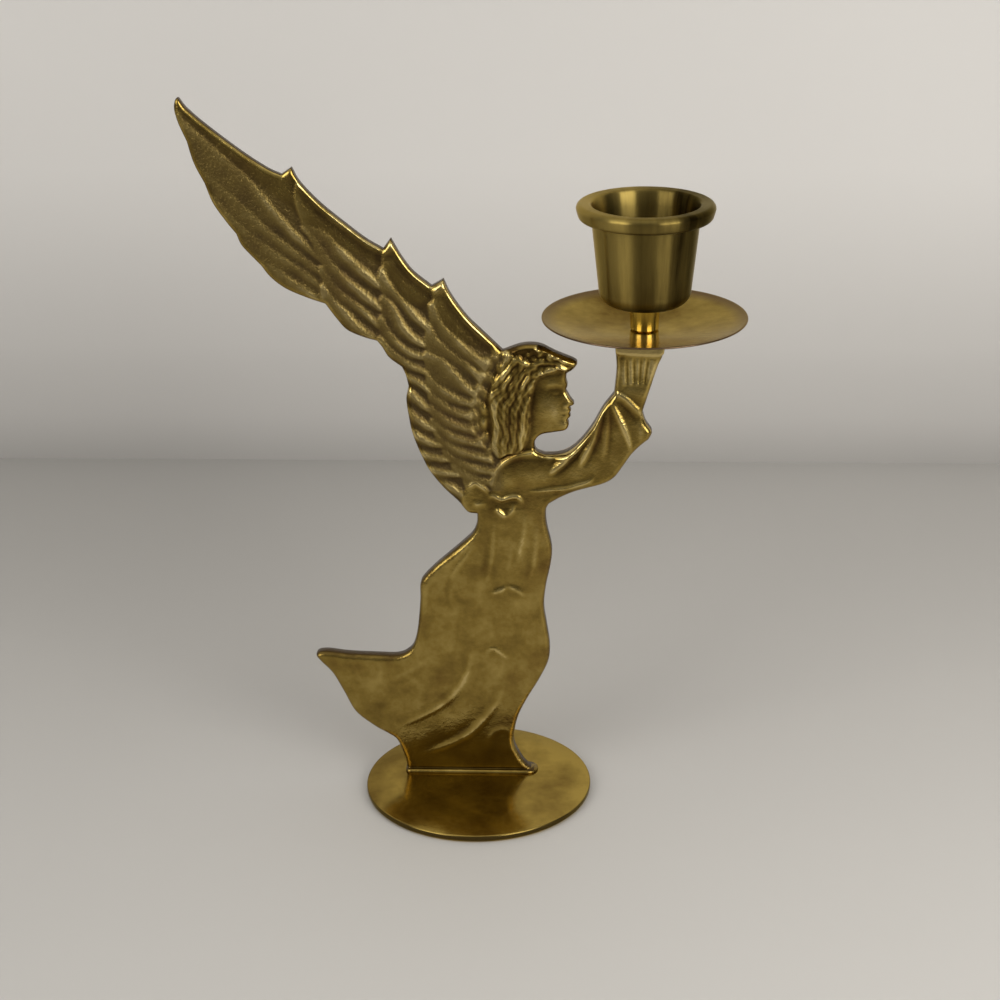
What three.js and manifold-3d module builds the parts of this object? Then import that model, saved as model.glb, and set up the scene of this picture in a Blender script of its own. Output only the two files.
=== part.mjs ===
// Angel candlestick: a flat cast brass angel on a round base, with a drip pan and a candle cup on its hand.
// Millimetres, +Z up. The origin is the middle of the base's underside, +X runs from the wing towards the
// cup, and the side that faces a viewer is -Y.
import * as THREE from "three";
import { mergeVertices } from "three/addons/utils/BufferGeometryUtils.js";
import Module from "manifold-3d";

// Base plate
const BASE_RADIUS = 27.2;
const BASE_THICKNESS = 3; // at its flat middle
const BASE_RIM_HEIGHT = 2;
const BASE_FLAT_RADIUS = 20;
const BASE_EDGE_ROUND = 1;
const BASE_UNDERSIDE_CHAMFER = 0.6;

// Figure
const SEAT_HEIGHT = 112; // from the top of the base to the seat on the hand
const CUP_REACH = 39; // from the base's axis to the cup's axis
const FIGURE_SETBACK = 3.3; // the plate's middle is this far behind the base's axis
const PLATE_THICKNESS = 3.2;
const PLATE_EDGE = 2.2; // the upright middle band of the plate's edge
const EDGE_DRAFT = 0.5; // how far the edge leans in from that band to the highest form
const STEP_BEVEL = 0.2; // on the edge of each raised form

// How far each raised form stands proud of the plate, on each of its two sides
const OUTER_TIER_RISE = 0.25;
const MIDDLE_TIER_RISE = 0.5;
const INNER_TIER_RISE = 0.75;
const HAIR_RISE = 0.9;
const SLEEVE_RISE = 1.1;
const SKIRT_RISE = 0.5;
const HAND_RISE = 0.7;
const SEAT_BLOCK_DEPTH = 6.4; // front to back
const SEAT_BLOCK_HEIGHT = 4.4;
const SEAT_BLOCK_BEVEL = 0.3;
const FEATHER_RISE = 0.35; // above the tier that the feather lies on
const FOLD_RISE = 0.45; // above the cloth that the fold lies on
const HEART_RISE = 1.5;

// Foot
const FOOT_BEAD_HEIGHT = 0.8;
const FOOT_BEAD_DEPTH = 5.6;

// Screws
const SCREW_CLEARANCE = 0.25; // between a screw and the hole it passes, on the radius
const FOOT_SCREW_DIAMETER = 2.5;
const FOOT_SCREW_HEAD_DIAMETER = 4.7;
const FOOT_SCREW_HEAD_HEIGHT = 1.3;
const FOOT_SCREW_LENGTH = 9;
const FOOT_SCREW_RECESS = 0.3; // from the base's underside up to the head
const FOOT_SCREW_SPACING = 15;
const CUP_SCREW_DIAMETER = 3;
const CUP_SCREW_HEAD_DIAMETER = 5.6;
const CUP_SCREW_HEAD_HEIGHT = 1.8;
const CUP_SCREW_LENGTH = 18;
const SCREW_SLOT_WIDTH = 0.7;
const SCREW_SLOT_DEPTH = 0.7;
const SCREW_POINT = 0.4; // the chamfer at a screw's end
const TAPPED_HOLE_SPARE = 0.8; // the hole is this much deeper than its screw reaches

// Drip pan
const PAN_RADIUS = 23.2;
const PAN_FLAT_RADIUS = 5;
const PAN_SHEET = 0.8;
const PAN_RIM_SHEET = 0.4; // the sheet thins towards the rim
const PAN_RISE = 3.5;

// Collar
const COLLAR_HEIGHT = 6.1;
const COLLAR_WAIST_RADIUS = 3.2;
const COLLAR_TOP_RADIUS = 3.9;

// Candle cup
const CUP_HEIGHT = 23.1;
const CUP_FLOOR = 1.2;
const CUP_WALL = 0.8;
const CUP_FOOT_RADIUS = 10.4;
const CUP_MOUTH_RADIUS = 12.1;
const CUP_CORNER_ROUND = 3.4;
const LIP_OVERHANG = 3.4;
const LIP_HEIGHT = 3.65;
const LIP_FLARE = 0.4;

// Washer
const WASHER_DIAMETER = 7;
const WASHER_THICKNESS = 0.6;

const TURNED_SIDES = 40;
const SCREW_SIDES = 14;
const SLIVER = 0.01; // edges that a join leaves shorter than this are merged

const wasm = await Module();
wasm.setup();

// Materials
const castBrass = new THREE.MeshStandardMaterial({ color: 0x7d6632, metalness: 1, roughness: 0.38 });
const polishedBrass = new THREE.MeshStandardMaterial({ color: 0xb8964a, metalness: 1, roughness: 0.2 });
const satinBrass = new THREE.MeshStandardMaterial({ color: 0x8c7540, metalness: 1, roughness: 0.34 });
const brightBrass = new THREE.MeshStandardMaterial({ color: 0xe0c060, metalness: 1, roughness: 0.12 });
const screwBrass = new THREE.MeshStandardMaterial({ color: 0xa98d4c, metalness: 1, roughness: 0.3 });

// A closed geometry as a solid that can be joined and cut.
function solidOf(geometry) {
  const bare = new THREE.BufferGeometry().setAttribute("position", geometry.getAttribute("position"));
  bare.setIndex(geometry.getIndex());
  const merged = mergeVertices(bare, 1e-4);
  return new wasm.Manifold(
    new wasm.Mesh({
      numProp: 3,
      vertProperties: merged.getAttribute("position").array,
      triVerts: new Uint32Array(merged.getIndex().array),
    }),
  );
}

// The finished piece: one named mesh from one solid.
function meshOf(name, solid, material) {
  const made = solid.getMesh();
  const geometry = new THREE.BufferGeometry();
  geometry.setAttribute("position", new THREE.BufferAttribute(made.vertProperties, 3));
  geometry.setIndex(new THREE.BufferAttribute(made.triVerts, 1));
  geometry.computeVertexNormals();
  const mesh = new THREE.Mesh(geometry, material);
  mesh.name = name;
  return mesh;
}

// A turned solid about Z from [radius, height] pairs that run up the outside and end on the axis.
function turned(profile, sides = TURNED_SIDES) {
  const points = profile.map(([radius, height]) => new THREE.Vector2(radius, height));
  return solidOf(new THREE.LatheGeometry(points, sides).rotateX(Math.PI / 2));
}

// A quarter round between two [radius, height] ends, bulging away from its centre.
function quarter([centreRadius, centreHeight], size, startAngle, endAngle, steps = 5) {
  return Array.from({ length: steps + 1 }, (_, i) => {
    const angle = startAngle + ((endAngle - startAngle) * i) / steps;
    return [centreRadius + size * Math.cos(angle), centreHeight + size * Math.sin(angle)];
  });
}

// The figure is drawn on a grid of about one millimetre, with its foot on row 0: the cup's axis is column
// 39 and the seat on the hand is row 112, and the grid stretches with the reach and the height.
const CUP_COLUMN = 39;
const SEAT_ROW = 112;
const grid = ([column, row]) =>
  new THREE.Vector2((column * CUP_REACH) / CUP_COLUMN, (row * SEAT_HEIGHT) / SEAT_ROW);

// A closed outline from runs of [column, row] points: each run is one smooth curve from the last point of
// the run before it, and a run of one point is a straight line.
function outline(runs) {
  const shape = new THREE.Shape();
  const last = runs.at(-1).at(-1);
  shape.moveTo(grid(last).x, grid(last).y);
  for (const run of runs) {
    if (run.length === 1) shape.lineTo(grid(run[0]).x, grid(run[0]).y);
    else shape.splineThru(run.map(grid));
  }
  return shape;
}

// An upright slab of an outline, with its middle at Y = 0 and a bevel along its front and back edges.
function slab(shape, thickness, bevel = STEP_BEVEL, lean = bevel) {
  const geometry = new THREE.ExtrudeGeometry(shape, {
    depth: thickness - 2 * bevel,
    bevelThickness: bevel,
    bevelSize: lean,
    bevelOffset: -lean,
    bevelSegments: 1,
    curveSegments: 1,
  });
  geometry.rotateX(Math.PI / 2);
  geometry.translate(0, thickness / 2 - bevel, 0);
  return solidOf(geometry);
}

// The outer contour, clockwise from the right end of the foot. It starts inside the foot bead and ends
// inside the seat block.
const BEAD_OVERLAP = 0.4;
const BLOCK_OVERLAP = 0.5;
const FIGURE_OUTLINE = [
  // Foot, back hem and tail of the skirt
  [[-17.5, BEAD_OVERLAP]],
  [[-18, 3.2], [-18.9, 5.9], [-20, 8.4], [-21.8, 9.8], [-25.2, 11.9], [-29.7, 15.8], [-32.4, 21.2], [-34.9, 26.1],
    [-37.6, 29.2], [-38.7, 30.8], [-38, 31.7], [-35.6, 31.9], [-30.8, 31.3], [-23.5, 31], [-19.2, 31],
    [-16.8, 32], [-15.1, 34.1], [-14, 38.8], [-13.3, 45.6], [-13.1, 50], [-11.7, 52.3], [-9, 55.1]],
  [[-3.4, 60.1], [-0.6, 62.9], [0.5, 65.5], [0.6, 68]],
  // Lower edge of the wing, one run for each group of feather ends
  [[-1.6, 68.4], [-3.8, 71.1], [-7, 74.3], [-10.2, 78.5], [-12.4, 83.2], [-14.1, 88.1], [-15, 93.5]],
  [[-15.2, 96.4], [-14.6, 99.3]],
  [[-15.2, 102], [-16, 103.9]],
  [[-18.9, 106.2], [-20.4, 108.7], [-21.5, 110.1]],
  [[-24.6, 111], [-28.2, 112.7], [-30.6, 115.5], [-32.9, 118.8]],
  [[-36.9, 120.2], [-41.6, 122.3], [-44.9, 124.9], [-47, 127.7]],
  [[-49.3, 130.2], [-51.2, 132.5], [-52.2, 135]],
  [[-54.3, 137.8], [-57, 142], [-58.6, 146.5]],
  [[-60.7, 151], [-62, 156]],
  [[-63.6, 160], [-64.4, 163.6], [-63.4, 166], [-61.7, 163.3], [-57.5, 159.4], [-50, 153.5], [-44.5, 149.8],
    [-41.5, 148.4]],
  // Upper edge of the wing, with the three feather points
  [[-39.2, 150]],
  [[-37.4, 146.6], [-33, 141.8], [-27.7, 137.3], [-23.3, 133.8], [-19.5, 131.5]],
  [[-17.7, 133.9]],
  [[-16.7, 132], [-15.2, 129.4], [-12.8, 126.2], [-8.8, 122.9]],
  [[-6.1, 124.5]],
  [[-4.8, 121.5], [-2.8, 118.3], [-0.4, 115.2], [2.7, 112.1], [7, 107.8]],
  // Hair and headband
  [[9.1, 108.6], [10.9, 109.2], [13.2, 109.5], [15.9, 109.1], [19, 107.5], [23.1, 105.8], [23.9, 104.9],
    [23, 103.5], [21.5, 102.5]],
  // A plain calm profile
  [[21.4, 101.1], [21.7, 99.7], [21.3, 98.5]],
  [[22.3, 96.6], [23.2, 95.2], [22.1, 94.4]],
  [[22.5, 93.6], [22.1, 92.9]],
  [[22.4, 92.2], [21.7, 91.4]],
  [[22, 90.2], [21.2, 88.8], [18.3, 88.2], [15.6, 87.6], [14.2, 86], [14.5, 83.8], [16.4, 82.8]],
  // Upper edge of the sleeve
  [[19.2, 82.9], [21.8, 83.7], [24.5, 86], [27.3, 89.8], [29.8, 94.4], [32.3, 97.8]],
  // Hand and its seat
  [[32.6, 101], [32.8, 104], [32.6, 108]],
  [[32.6, SEAT_ROW - BLOCK_OVERLAP]],
  [[43.6, SEAT_ROW - BLOCK_OVERLAP]],
  [[43.1, 108], [42.1, 104.2], [40.2, 98], [38.8, 93.4]],
  // Cuff and lower edge of the sleeve
  [[39.6, 90.9], [41, 88.6], [40.4, 86.8]],
  [[38.3, 85], [36.3, 82.8], [34.2, 79.6], [32.4, 77.2], [29.7, 75.6], [23.9, 73.9], [20.4, 72.4], [17.4, 70.6]],
  // Front of the dress, down to the foot
  [[16.7, 69], [16.8, 65.4], [18, 59.5], [17.7, 55.2], [16.6, 49.8], [16.1, 44.5], [16.7, 39.7], [17.4, 34.5],
    [17.1, 30.1], [15, 25.3], [12.1, 20.1], [9.9, 15.5], [8.8, 11.2], [8.6, 8.2], [9.4, 5.6], [11.2, 2.4], [13.2, BEAD_OVERLAP]],
];

// Lines on the wing: where the feathers of each tier end, from its upper to its lower edge, and where the
// wing meets the shoulder
const OUTER_TIER_TIPS = [[-37.6, 138.1], [-34.3, 131.7], [-33.5, 124.8], [-32.8, 118.6]];
const MIDDLE_TIER_TIPS = [[-18.9, 131.6], [-20.1, 125.9], [-20, 118.9], [-20.8, 110]];
const INNER_TIER_TIPS = [[-8.2, 122.6], [-9.9, 113.1], [-10.5, 105.5], [-9.8, 95.5], [-7.6, 85.6], [-1.8, 72]];
const LOWER_EDGE_TIPS = [[-20.8, 110], [-15.5, 102], [-15, 94], [-12.6, 84], [-6, 73.4]];
const SHOULDER_LINE = [[6.6, 107.6], [3.2, 103.6], [0.4, 95.5], [0, 89], [5, 81], [4, 72]];
const WING_TIP_LINE = [[-50, 153.8], [-60.5, 158], [-57, 141.5], [-48, 129]];

// Everything on the wing from a line of feather ends to the shoulder
const tierOutline = (tips) =>
  outline([[tips[0]], tips.slice(1), ...[[-12, 60], [5, 60]].map((p) => [p]), [...SHOULDER_LINE].reverse(), [[0, 150]]]);

const HAIR_OUTLINE = [
  [[6, 106], [3.8, 99], [4.6, 90.4], [4.2, 85.5], [5.5, 81.6]],
  [[10.8, 83.4]],
  [[12.7, 88.7], [13, 94.6], [14.2, 100]],
  [[15.4, 102.6], [20, 103.4], [27, 102]],
  [[27, 112]],
  [[6, 112]],
];
const SLEEVE_OUTLINE = [
  [[3.9, 75], [5.7, 80.3], [10.8, 83.5], [16, 85]],
  [[28, 100]],
  [[32.8, 98.4]],
  [[35, 96.6], [38.9, 92.7]],
  [[46, 90]],
  [[34, 68]],
  [[18, 68]],
  [[16, 72.9], [9, 72.6], [4, 72.2]],
];
const SKIRT_OUTLINE = [
  [[-45, 0]],
  [[-45, 40]],
  [[0.7, 67.4]],
  [[7, 69], [17, 67.4]],
  [[24, 66]],
  [[24, 0]],
];
const BOW_OUTLINE = [
  [[-2.4, 72.4], [-0.6, 75.9], [2, 75.4], [4.6, 72.2]],
  [[3, 70.6], [0, 70], [-1.6, 68.9], [-2.6, 70.2]],
];
const HEART_OUTLINE = [
  [[4, 72.6], [5.4, 72.7], [7, 71.7]],
  [[8.8, 73], [11, 72.3], [11, 70], [7.1, 67.2]],
  [[4.2, 69.6], [3.4, 71.2]],
];
const HAND_OUTLINE = [
  [[30, 97]],
  [[30, SEAT_ROW]],
  [[47, SEAT_ROW]],
  [[42, 92]],
  [[36, 92]],
];
const SEAT_BLOCK_OUTLINE = [
  [[32.5, SEAT_ROW - SEAT_BLOCK_HEIGHT]],
  [[32.2, SEAT_ROW]],
  [[44.1, SEAT_ROW]],
  [[43.4, SEAT_ROW - SEAT_BLOCK_HEIGHT]],
];

// Long pointed ridges on the cloth: [start, middle, end, width] on the grid
const SKIRT_FOLDS = [
  [[-1.2, 31], [-6.5, 19.6], [-20, 11.8], 2.4],
  [[6.4, 22.3], [-0.5, 11.6], [-14.6, 4.2], 2.4],
  [[12.4, 67], [11.8, 61], [10.2, 55], 1.8],
  [[4.6, 65], [4.4, 59], [3, 52], 1.8],
  [[-1, 60.6], [-4.6, 57], [-9, 51.6], 2],
];
const SLEEVE_FOLDS = [
  [[18.1, 78.9], [25.2, 86.6], [30.7, 96.4], 2],
  [[24.6, 81], [27.2, 87.2], [30.4, 95], 1.6],
  [[35.6, 85.4], [33.6, 90.8], [31.4, 95], 1.6],
];

// A ridge with pointed ends, bent through its middle point.
function ridge([start, middle, end, width], thickness) {
  const line = new THREE.SplineCurve([start, middle, end].map(grid));
  const steps = 3;
  const side = (sign) =>
    Array.from({ length: steps - 1 }, (_, i) => {
      const t = (i + 1) / steps;
      const along = line.getTangent(t);
      const half = (sign * width * Math.sin(Math.PI * t)) / 2;
      return line.getPoint(t).add(new THREE.Vector2(-along.y, along.x).multiplyScalar(half));
    });
  const points = [line.getPoint(0), ...side(1), line.getPoint(1), ...side(-1).reverse()];
  return slab(new THREE.Shape(points), thickness, RIDGE_BEVEL);
}
const RIDGE_BEVEL = 0.3;

// Feathers side by side, each from just inside a line of tips to just short of a line of roots.
function feathers(tips, roots, count, width, thickness) {
  const tipLine = new THREE.SplineCurve(tips.map((p) => new THREE.Vector2(...p)));
  const rootLine = new THREE.SplineCurve(roots.map((p) => new THREE.Vector2(...p)));
  return Array.from({ length: count }, (_, i) => {
    const share = (i + 0.5) / count;
    const ends = [tipLine.getPoint(share), rootLine.getPoint(share)];
    const [tip, root] = [0.05, 0.97].map((along) => ends[0].clone().lerp(ends[1], along));
    const sag = tip.clone().lerp(root, 0.5).add(new THREE.Vector2(-FEATHER_SAG, -FEATHER_SAG));
    return ridge([[tip.x, tip.y], [sag.x, sag.y], [root.x, root.y], width], thickness);
  });
}
const FEATHER_SAG = 0.8;

// The casting: everything that is raised on the plate, cut to the contour, with the foot bead and the seat
// block joined on and the screw holes drilled.
function angelFigure() {
  const form = (runs, rise) => slab(outline(runs), PLATE_THICKNESS + 2 * rise);
  const onTier = (rise) => PLATE_THICKNESS + 2 * (rise + FEATHER_RISE);
  const fold = (line, rise) => ridge(line, PLATE_THICKNESS + 2 * (rise + FOLD_RISE));
  const forms = [
    solidOf(new THREE.BoxGeometry(400, PLATE_THICKNESS, 400)),
    slab(tierOutline(OUTER_TIER_TIPS), PLATE_THICKNESS + 2 * OUTER_TIER_RISE),
    slab(tierOutline(MIDDLE_TIER_TIPS), PLATE_THICKNESS + 2 * MIDDLE_TIER_RISE),
    slab(tierOutline(INNER_TIER_TIPS), PLATE_THICKNESS + 2 * INNER_TIER_RISE),
    ...feathers(WING_TIP_LINE, OUTER_TIER_TIPS, 4, 3.6, onTier(0)),
    ...feathers(OUTER_TIER_TIPS, MIDDLE_TIER_TIPS, 4, 3.6, onTier(OUTER_TIER_RISE)),
    ...feathers(MIDDLE_TIER_TIPS, INNER_TIER_TIPS.slice(0, 3), 4, 3.2, onTier(MIDDLE_TIER_RISE)),
    ...feathers(LOWER_EDGE_TIPS, INNER_TIER_TIPS.slice(2), 5, 2.4, onTier(MIDDLE_TIER_RISE)),
    ...feathers(INNER_TIER_TIPS, SHOULDER_LINE, 9, 2.6, onTier(INNER_TIER_RISE)),
    form(SKIRT_OUTLINE, SKIRT_RISE),
    ...SKIRT_FOLDS.map((line) => fold(line, SKIRT_RISE)),
    form(SLEEVE_OUTLINE, SLEEVE_RISE),
    ...SLEEVE_FOLDS.map((line) => fold(line, SLEEVE_RISE)),
    form(BOW_OUTLINE, HEART_RISE),
    form(HEART_OUTLINE, HEART_RISE),
    form(HAIR_OUTLINE, HAIR_RISE),
    form(HAND_OUTLINE, HAND_RISE),
  ];
  const edge = (CONTOUR_THICKNESS - PLATE_EDGE) / 2;
  const contour = slab(outline(FIGURE_OUTLINE), CONTOUR_THICKNESS, edge, EDGE_DRAFT);
  const seat = slab(outline(SEAT_BLOCK_OUTLINE), SEAT_BLOCK_DEPTH, SEAT_BLOCK_BEVEL);
  const relief = forms.reduce((a, b) => a.add(b)).intersect(contour).add(footBead()).add(seat);
  const holes = [
    drillHole(CUP_SCREW_DIAMETER, SEAT_SCREW_REACH).translate([CUP_REACH, 0, SEAT_HEIGHT]),
    ...FOOT_SCREW_PLACES.map((x) => drillHole(FOOT_SCREW_DIAMETER, FOOT_SCREW_REACH).translate([x, 0, 0])),
  ];
  const drilled = holes.reduce((a, b) => a.subtract(b), relief);
  return meshOf("angel_figure", drilled.simplify(SLIVER), castBrass);
}

// The contour's slab is thicker than the highest form on the plate.
const CONTOUR_THICKNESS = PLATE_THICKNESS + 2 * (HEART_RISE + 0.3);

// What drills a screw's hole, as far to each side of Z = 0.
function drillHole(diameter, reach) {
  const radius = diameter / 2 + SCREW_CLEARANCE;
  return solidOf(new THREE.CylinderGeometry(radius, radius, 2 * reach, SCREW_SIDES).rotateX(Math.PI / 2));
}

// The bead along the foot, which spreads the figure's stand on the base and is round at its right end.
function footBead() {
  const left = grid([-17.9, 0]).x;
  const right = grid([14.4, 0]).x;
  const front = FOOT_BEAD_DEPTH / 2;
  const corner = front / 2;
  const plan = new THREE.Shape();
  plan.absarc(right - front, 0, front, -Math.PI / 2, Math.PI / 2);
  plan.absarc(left + corner, front - corner, corner, Math.PI / 2, Math.PI);
  plan.absarc(left + corner, corner - front, corner, Math.PI, (3 * Math.PI) / 2);
  const bevel = FOOT_BEAD_HEIGHT / 3;
  const bead = new THREE.ExtrudeGeometry(plan, {
    depth: FOOT_BEAD_HEIGHT,
    bevelThickness: bevel,
    bevelSize: bevel,
    bevelOffset: -bevel,
    bevelSegments: 1,
    curveSegments: 3,
  });
  const underside = new THREE.BoxGeometry(200, 200, 200).translate(0, 0, -100);
  return solidOf(bead.translate(0, 0, -bevel)).subtract(solidOf(underside));
}

// Where the screws stand, and how deep they reach into the figure
const FOOT_MIDDLE_COLUMN = -1.7;
const FOOT_SCREW_PLACES = [-0.5, 0.5].map((side) => grid([FOOT_MIDDLE_COLUMN, 0]).x + side * FOOT_SCREW_SPACING);
const FOOT_SCREW_REACH = FOOT_SCREW_RECESS + FOOT_SCREW_LENGTH - BASE_THICKNESS + TAPPED_HOLE_SPARE;
const STACK_UNDER_SCREW = PAN_SHEET + COLLAR_HEIGHT + CUP_FLOOR + WASHER_THICKNESS;
const SEAT_SCREW_REACH = CUP_SCREW_LENGTH - STACK_UNDER_SCREW + TAPPED_HOLE_SPARE;

// The base plate: flat in the middle, falling a little to a rounded rim, countersunk from below.
function baseDisc() {
  const rimCentre = [BASE_RADIUS - BASE_EDGE_ROUND, BASE_RIM_HEIGHT - BASE_EDGE_ROUND];
  const blank = turned([
    [0, 0],
    [BASE_RADIUS - BASE_UNDERSIDE_CHAMFER, 0],
    [BASE_RADIUS, BASE_UNDERSIDE_CHAMFER],
    ...quarter(rimCentre, BASE_EDGE_ROUND, 0, Math.PI / 2),
    [BASE_FLAT_RADIUS, BASE_THICKNESS],
    [0, BASE_THICKNESS],
  ]);
  const drilled = FOOT_SCREW_PLACES.reduce(
    (body, x) => body.subtract(footScrewShape(SCREW_CLEARANCE, BASE_THICKNESS).translate([x, FIGURE_SETBACK, 0])),
    blank,
  );
  return meshOf("base_disc", drilled, polishedBrass);
}

// A countersunk screw with its head down, or with extra room round it the hole that it needs.
function footScrewShape(room, spare) {
  const head = FOOT_SCREW_HEAD_DIAMETER / 2 + room;
  const shank = FOOT_SCREW_DIAMETER / 2 + room;
  const bottom = spare ? -spare : FOOT_SCREW_RECESS;
  const neck = FOOT_SCREW_RECESS + FOOT_SCREW_HEAD_HEIGHT;
  const point = spare ? 0 : SCREW_POINT;
  return turned(
    [
      [0, bottom],
      [head, bottom],
      [head, neck - (FOOT_SCREW_HEAD_DIAMETER - FOOT_SCREW_DIAMETER) / 2],
      [shank, neck],
      [shank, FOOT_SCREW_RECESS + FOOT_SCREW_LENGTH - point],
      [shank - point, FOOT_SCREW_RECESS + FOOT_SCREW_LENGTH],
      [0, FOOT_SCREW_RECESS + FOOT_SCREW_LENGTH],
    ],
    SCREW_SIDES,
  );
}

// A block that cuts the driver's slot across a head whose face is at the given height.
function slot(headDiameter, face) {
  const cutter = new THREE.BoxGeometry(2 * headDiameter, SCREW_SLOT_WIDTH, 2 * SCREW_SLOT_DEPTH);
  return solidOf(cutter.translate(0, 0, face));
}

function footScrew(name) {
  const blank = footScrewShape(0, 0);
  return meshOf(name, blank.subtract(slot(FOOT_SCREW_HEAD_DIAMETER, FOOT_SCREW_RECESS)), screwBrass);
}

// A tube about Z with a bore, from an outside profile of [radius, height] pairs.
function boredTurning(profile, bore) {
  const top = profile.at(-1)[1];
  const hole = new THREE.CylinderGeometry(bore, bore, 2 * top + 1, SCREW_SIDES).rotateX(Math.PI / 2);
  return turned([[0, profile[0][1]], ...profile, [0, top]]).subtract(solidOf(hole));
}

const CUP_SCREW_HOLE = CUP_SCREW_DIAMETER / 2 + SCREW_CLEARANCE;

// The spun pan: a flat middle and a shallow dish that steepens towards the rim, of one sheet.
function dripPan() {
  const steps = 7;
  const shares = Array.from({ length: steps + 1 }, (_, i) => i / steps);
  const radius = (share) => PAN_FLAT_RADIUS + (PAN_RADIUS - PAN_FLAT_RADIUS) * share;
  const height = (share) => PAN_RISE * share ** 1.35;
  const sheetAt = (share) => PAN_SHEET + (PAN_RIM_SHEET - PAN_SHEET) * share;
  const under = shares.map((share) => [radius(share), height(share)]);
  const over = shares.map((share) => [radius(share), height(share) + sheetAt(share)]).reverse();
  const sheet = turned([[0, 0], ...under, ...over, [0, PAN_SHEET]]);
  const hole = new THREE.CylinderGeometry(CUP_SCREW_HOLE, CUP_SCREW_HOLE, 4 * PAN_SHEET, SCREW_SIDES);
  return meshOf("drip_pan", sheet.subtract(solidOf(hole.rotateX(Math.PI / 2))), polishedBrass);
}

// The collar: a short waisted tube that widens under the cup.
function cupCollar() {
  const steps = 6;
  const profile = Array.from({ length: steps + 1 }, (_, i) => {
    const up = i / steps;
    return [COLLAR_WAIST_RADIUS + (COLLAR_TOP_RADIUS - COLLAR_WAIST_RADIUS) * up ** 3, COLLAR_HEIGHT * up];
  });
  return meshOf("cup_collar", boredTurning(profile, CUP_SCREW_HOLE), brightBrass);
}

// The candle cup: rounded foot, tapered wall and an overhanging lip, hollow from the top.
function candleCup() {
  const lipBottom = CUP_HEIGHT - LIP_HEIGHT;
  const lipRadius = CUP_MOUTH_RADIUS + LIP_OVERHANG;
  const lipRound = LIP_HEIGHT / 3;
  const cornerCentre = [CUP_FOOT_RADIUS - CUP_CORNER_ROUND, CUP_CORNER_ROUND];
  const outside = [
    ...quarter(cornerCentre, CUP_CORNER_ROUND, -Math.PI / 2, 0),
    [CUP_MOUTH_RADIUS, lipBottom],
    ...quarter([lipRadius - lipRound - LIP_FLARE, lipBottom + lipRound], lipRound, -Math.PI / 2, 0, 3),
    ...quarter([lipRadius - lipRound, CUP_HEIGHT - lipRound], lipRound, 0, Math.PI / 2, 3),
  ];
  const mouth = CUP_MOUTH_RADIUS - CUP_WALL;
  const innerCorner = CUP_CORNER_ROUND - CUP_WALL;
  const innerFoot = CUP_FOOT_RADIUS - CUP_WALL;
  const inside = [
    [0, CUP_FLOOR],
    ...quarter([innerFoot - innerCorner, CUP_FLOOR + innerCorner], innerCorner, -Math.PI / 2, 0, 3),
    [mouth, lipBottom],
    [mouth + CUP_WALL, CUP_HEIGHT],
    [mouth + CUP_WALL, CUP_HEIGHT + 1],
    [0, CUP_HEIGHT + 1],
  ];
  const body = turned([[0, 0], ...outside, [0, CUP_HEIGHT]]).subtract(turned(inside));
  const hole = new THREE.CylinderGeometry(CUP_SCREW_HOLE, CUP_SCREW_HOLE, 4 * CUP_FLOOR, SCREW_SIDES);
  return meshOf("candle_cup", body.subtract(solidOf(hole.rotateX(Math.PI / 2))), satinBrass);
}

function cupWasher() {
  const radius = WASHER_DIAMETER / 2;
  return meshOf("cup_washer", boredTurning([[radius, 0], [radius, WASHER_THICKNESS]], CUP_SCREW_HOLE), screwBrass);
}

// The cup's screw, with the underside of its domed head at Z = 0.
function cupScrew() {
  const head = CUP_SCREW_HEAD_DIAMETER / 2;
  const shank = CUP_SCREW_DIAMETER / 2;
  const edge = CUP_SCREW_HEAD_HEIGHT / 3;
  const blank = turned(
    [
      [0, -CUP_SCREW_LENGTH],
      [shank - SCREW_POINT, -CUP_SCREW_LENGTH],
      [shank, SCREW_POINT - CUP_SCREW_LENGTH],
      [shank, 0],
      [head, 0],
      [head, CUP_SCREW_HEAD_HEIGHT - edge],
      [head - edge, CUP_SCREW_HEAD_HEIGHT],
      [0, CUP_SCREW_HEAD_HEIGHT],
    ],
    SCREW_SIDES,
  );
  return meshOf("cup_screw", blank.subtract(slot(CUP_SCREW_HEAD_DIAMETER, CUP_SCREW_HEAD_HEIGHT)), screwBrass);
}

function placed(mesh, x, y, z) {
  mesh.position.set(x, y, z);
  return mesh;
}

const candlestick = new THREE.Group();
candlestick.add(baseDisc());
candlestick.add(placed(angelFigure(), 0, FIGURE_SETBACK, BASE_THICKNESS));
candlestick.add(placed(footScrew("foot_screw_left"), FOOT_SCREW_PLACES[0], FIGURE_SETBACK, 0));
candlestick.add(placed(footScrew("foot_screw_right"), FOOT_SCREW_PLACES[1], FIGURE_SETBACK, 0));

// What stands on the hand, from the pan upwards
const cupStack = new THREE.Group();
cupStack.position.set(CUP_REACH, FIGURE_SETBACK, BASE_THICKNESS + SEAT_HEIGHT);
cupStack.add(dripPan());
cupStack.add(placed(cupCollar(), 0, 0, PAN_SHEET));
cupStack.add(placed(candleCup(), 0, 0, PAN_SHEET + COLLAR_HEIGHT));
cupStack.add(placed(cupWasher(), 0, 0, PAN_SHEET + COLLAR_HEIGHT + CUP_FLOOR));
cupStack.add(placed(cupScrew(), 0, 0, STACK_UNDER_SCREW));
candlestick.add(cupStack);

export default candlestick;
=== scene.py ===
import math
import bmesh
import bpy
import numpy as np
from mathutils import Matrix, Vector, geometry


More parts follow.
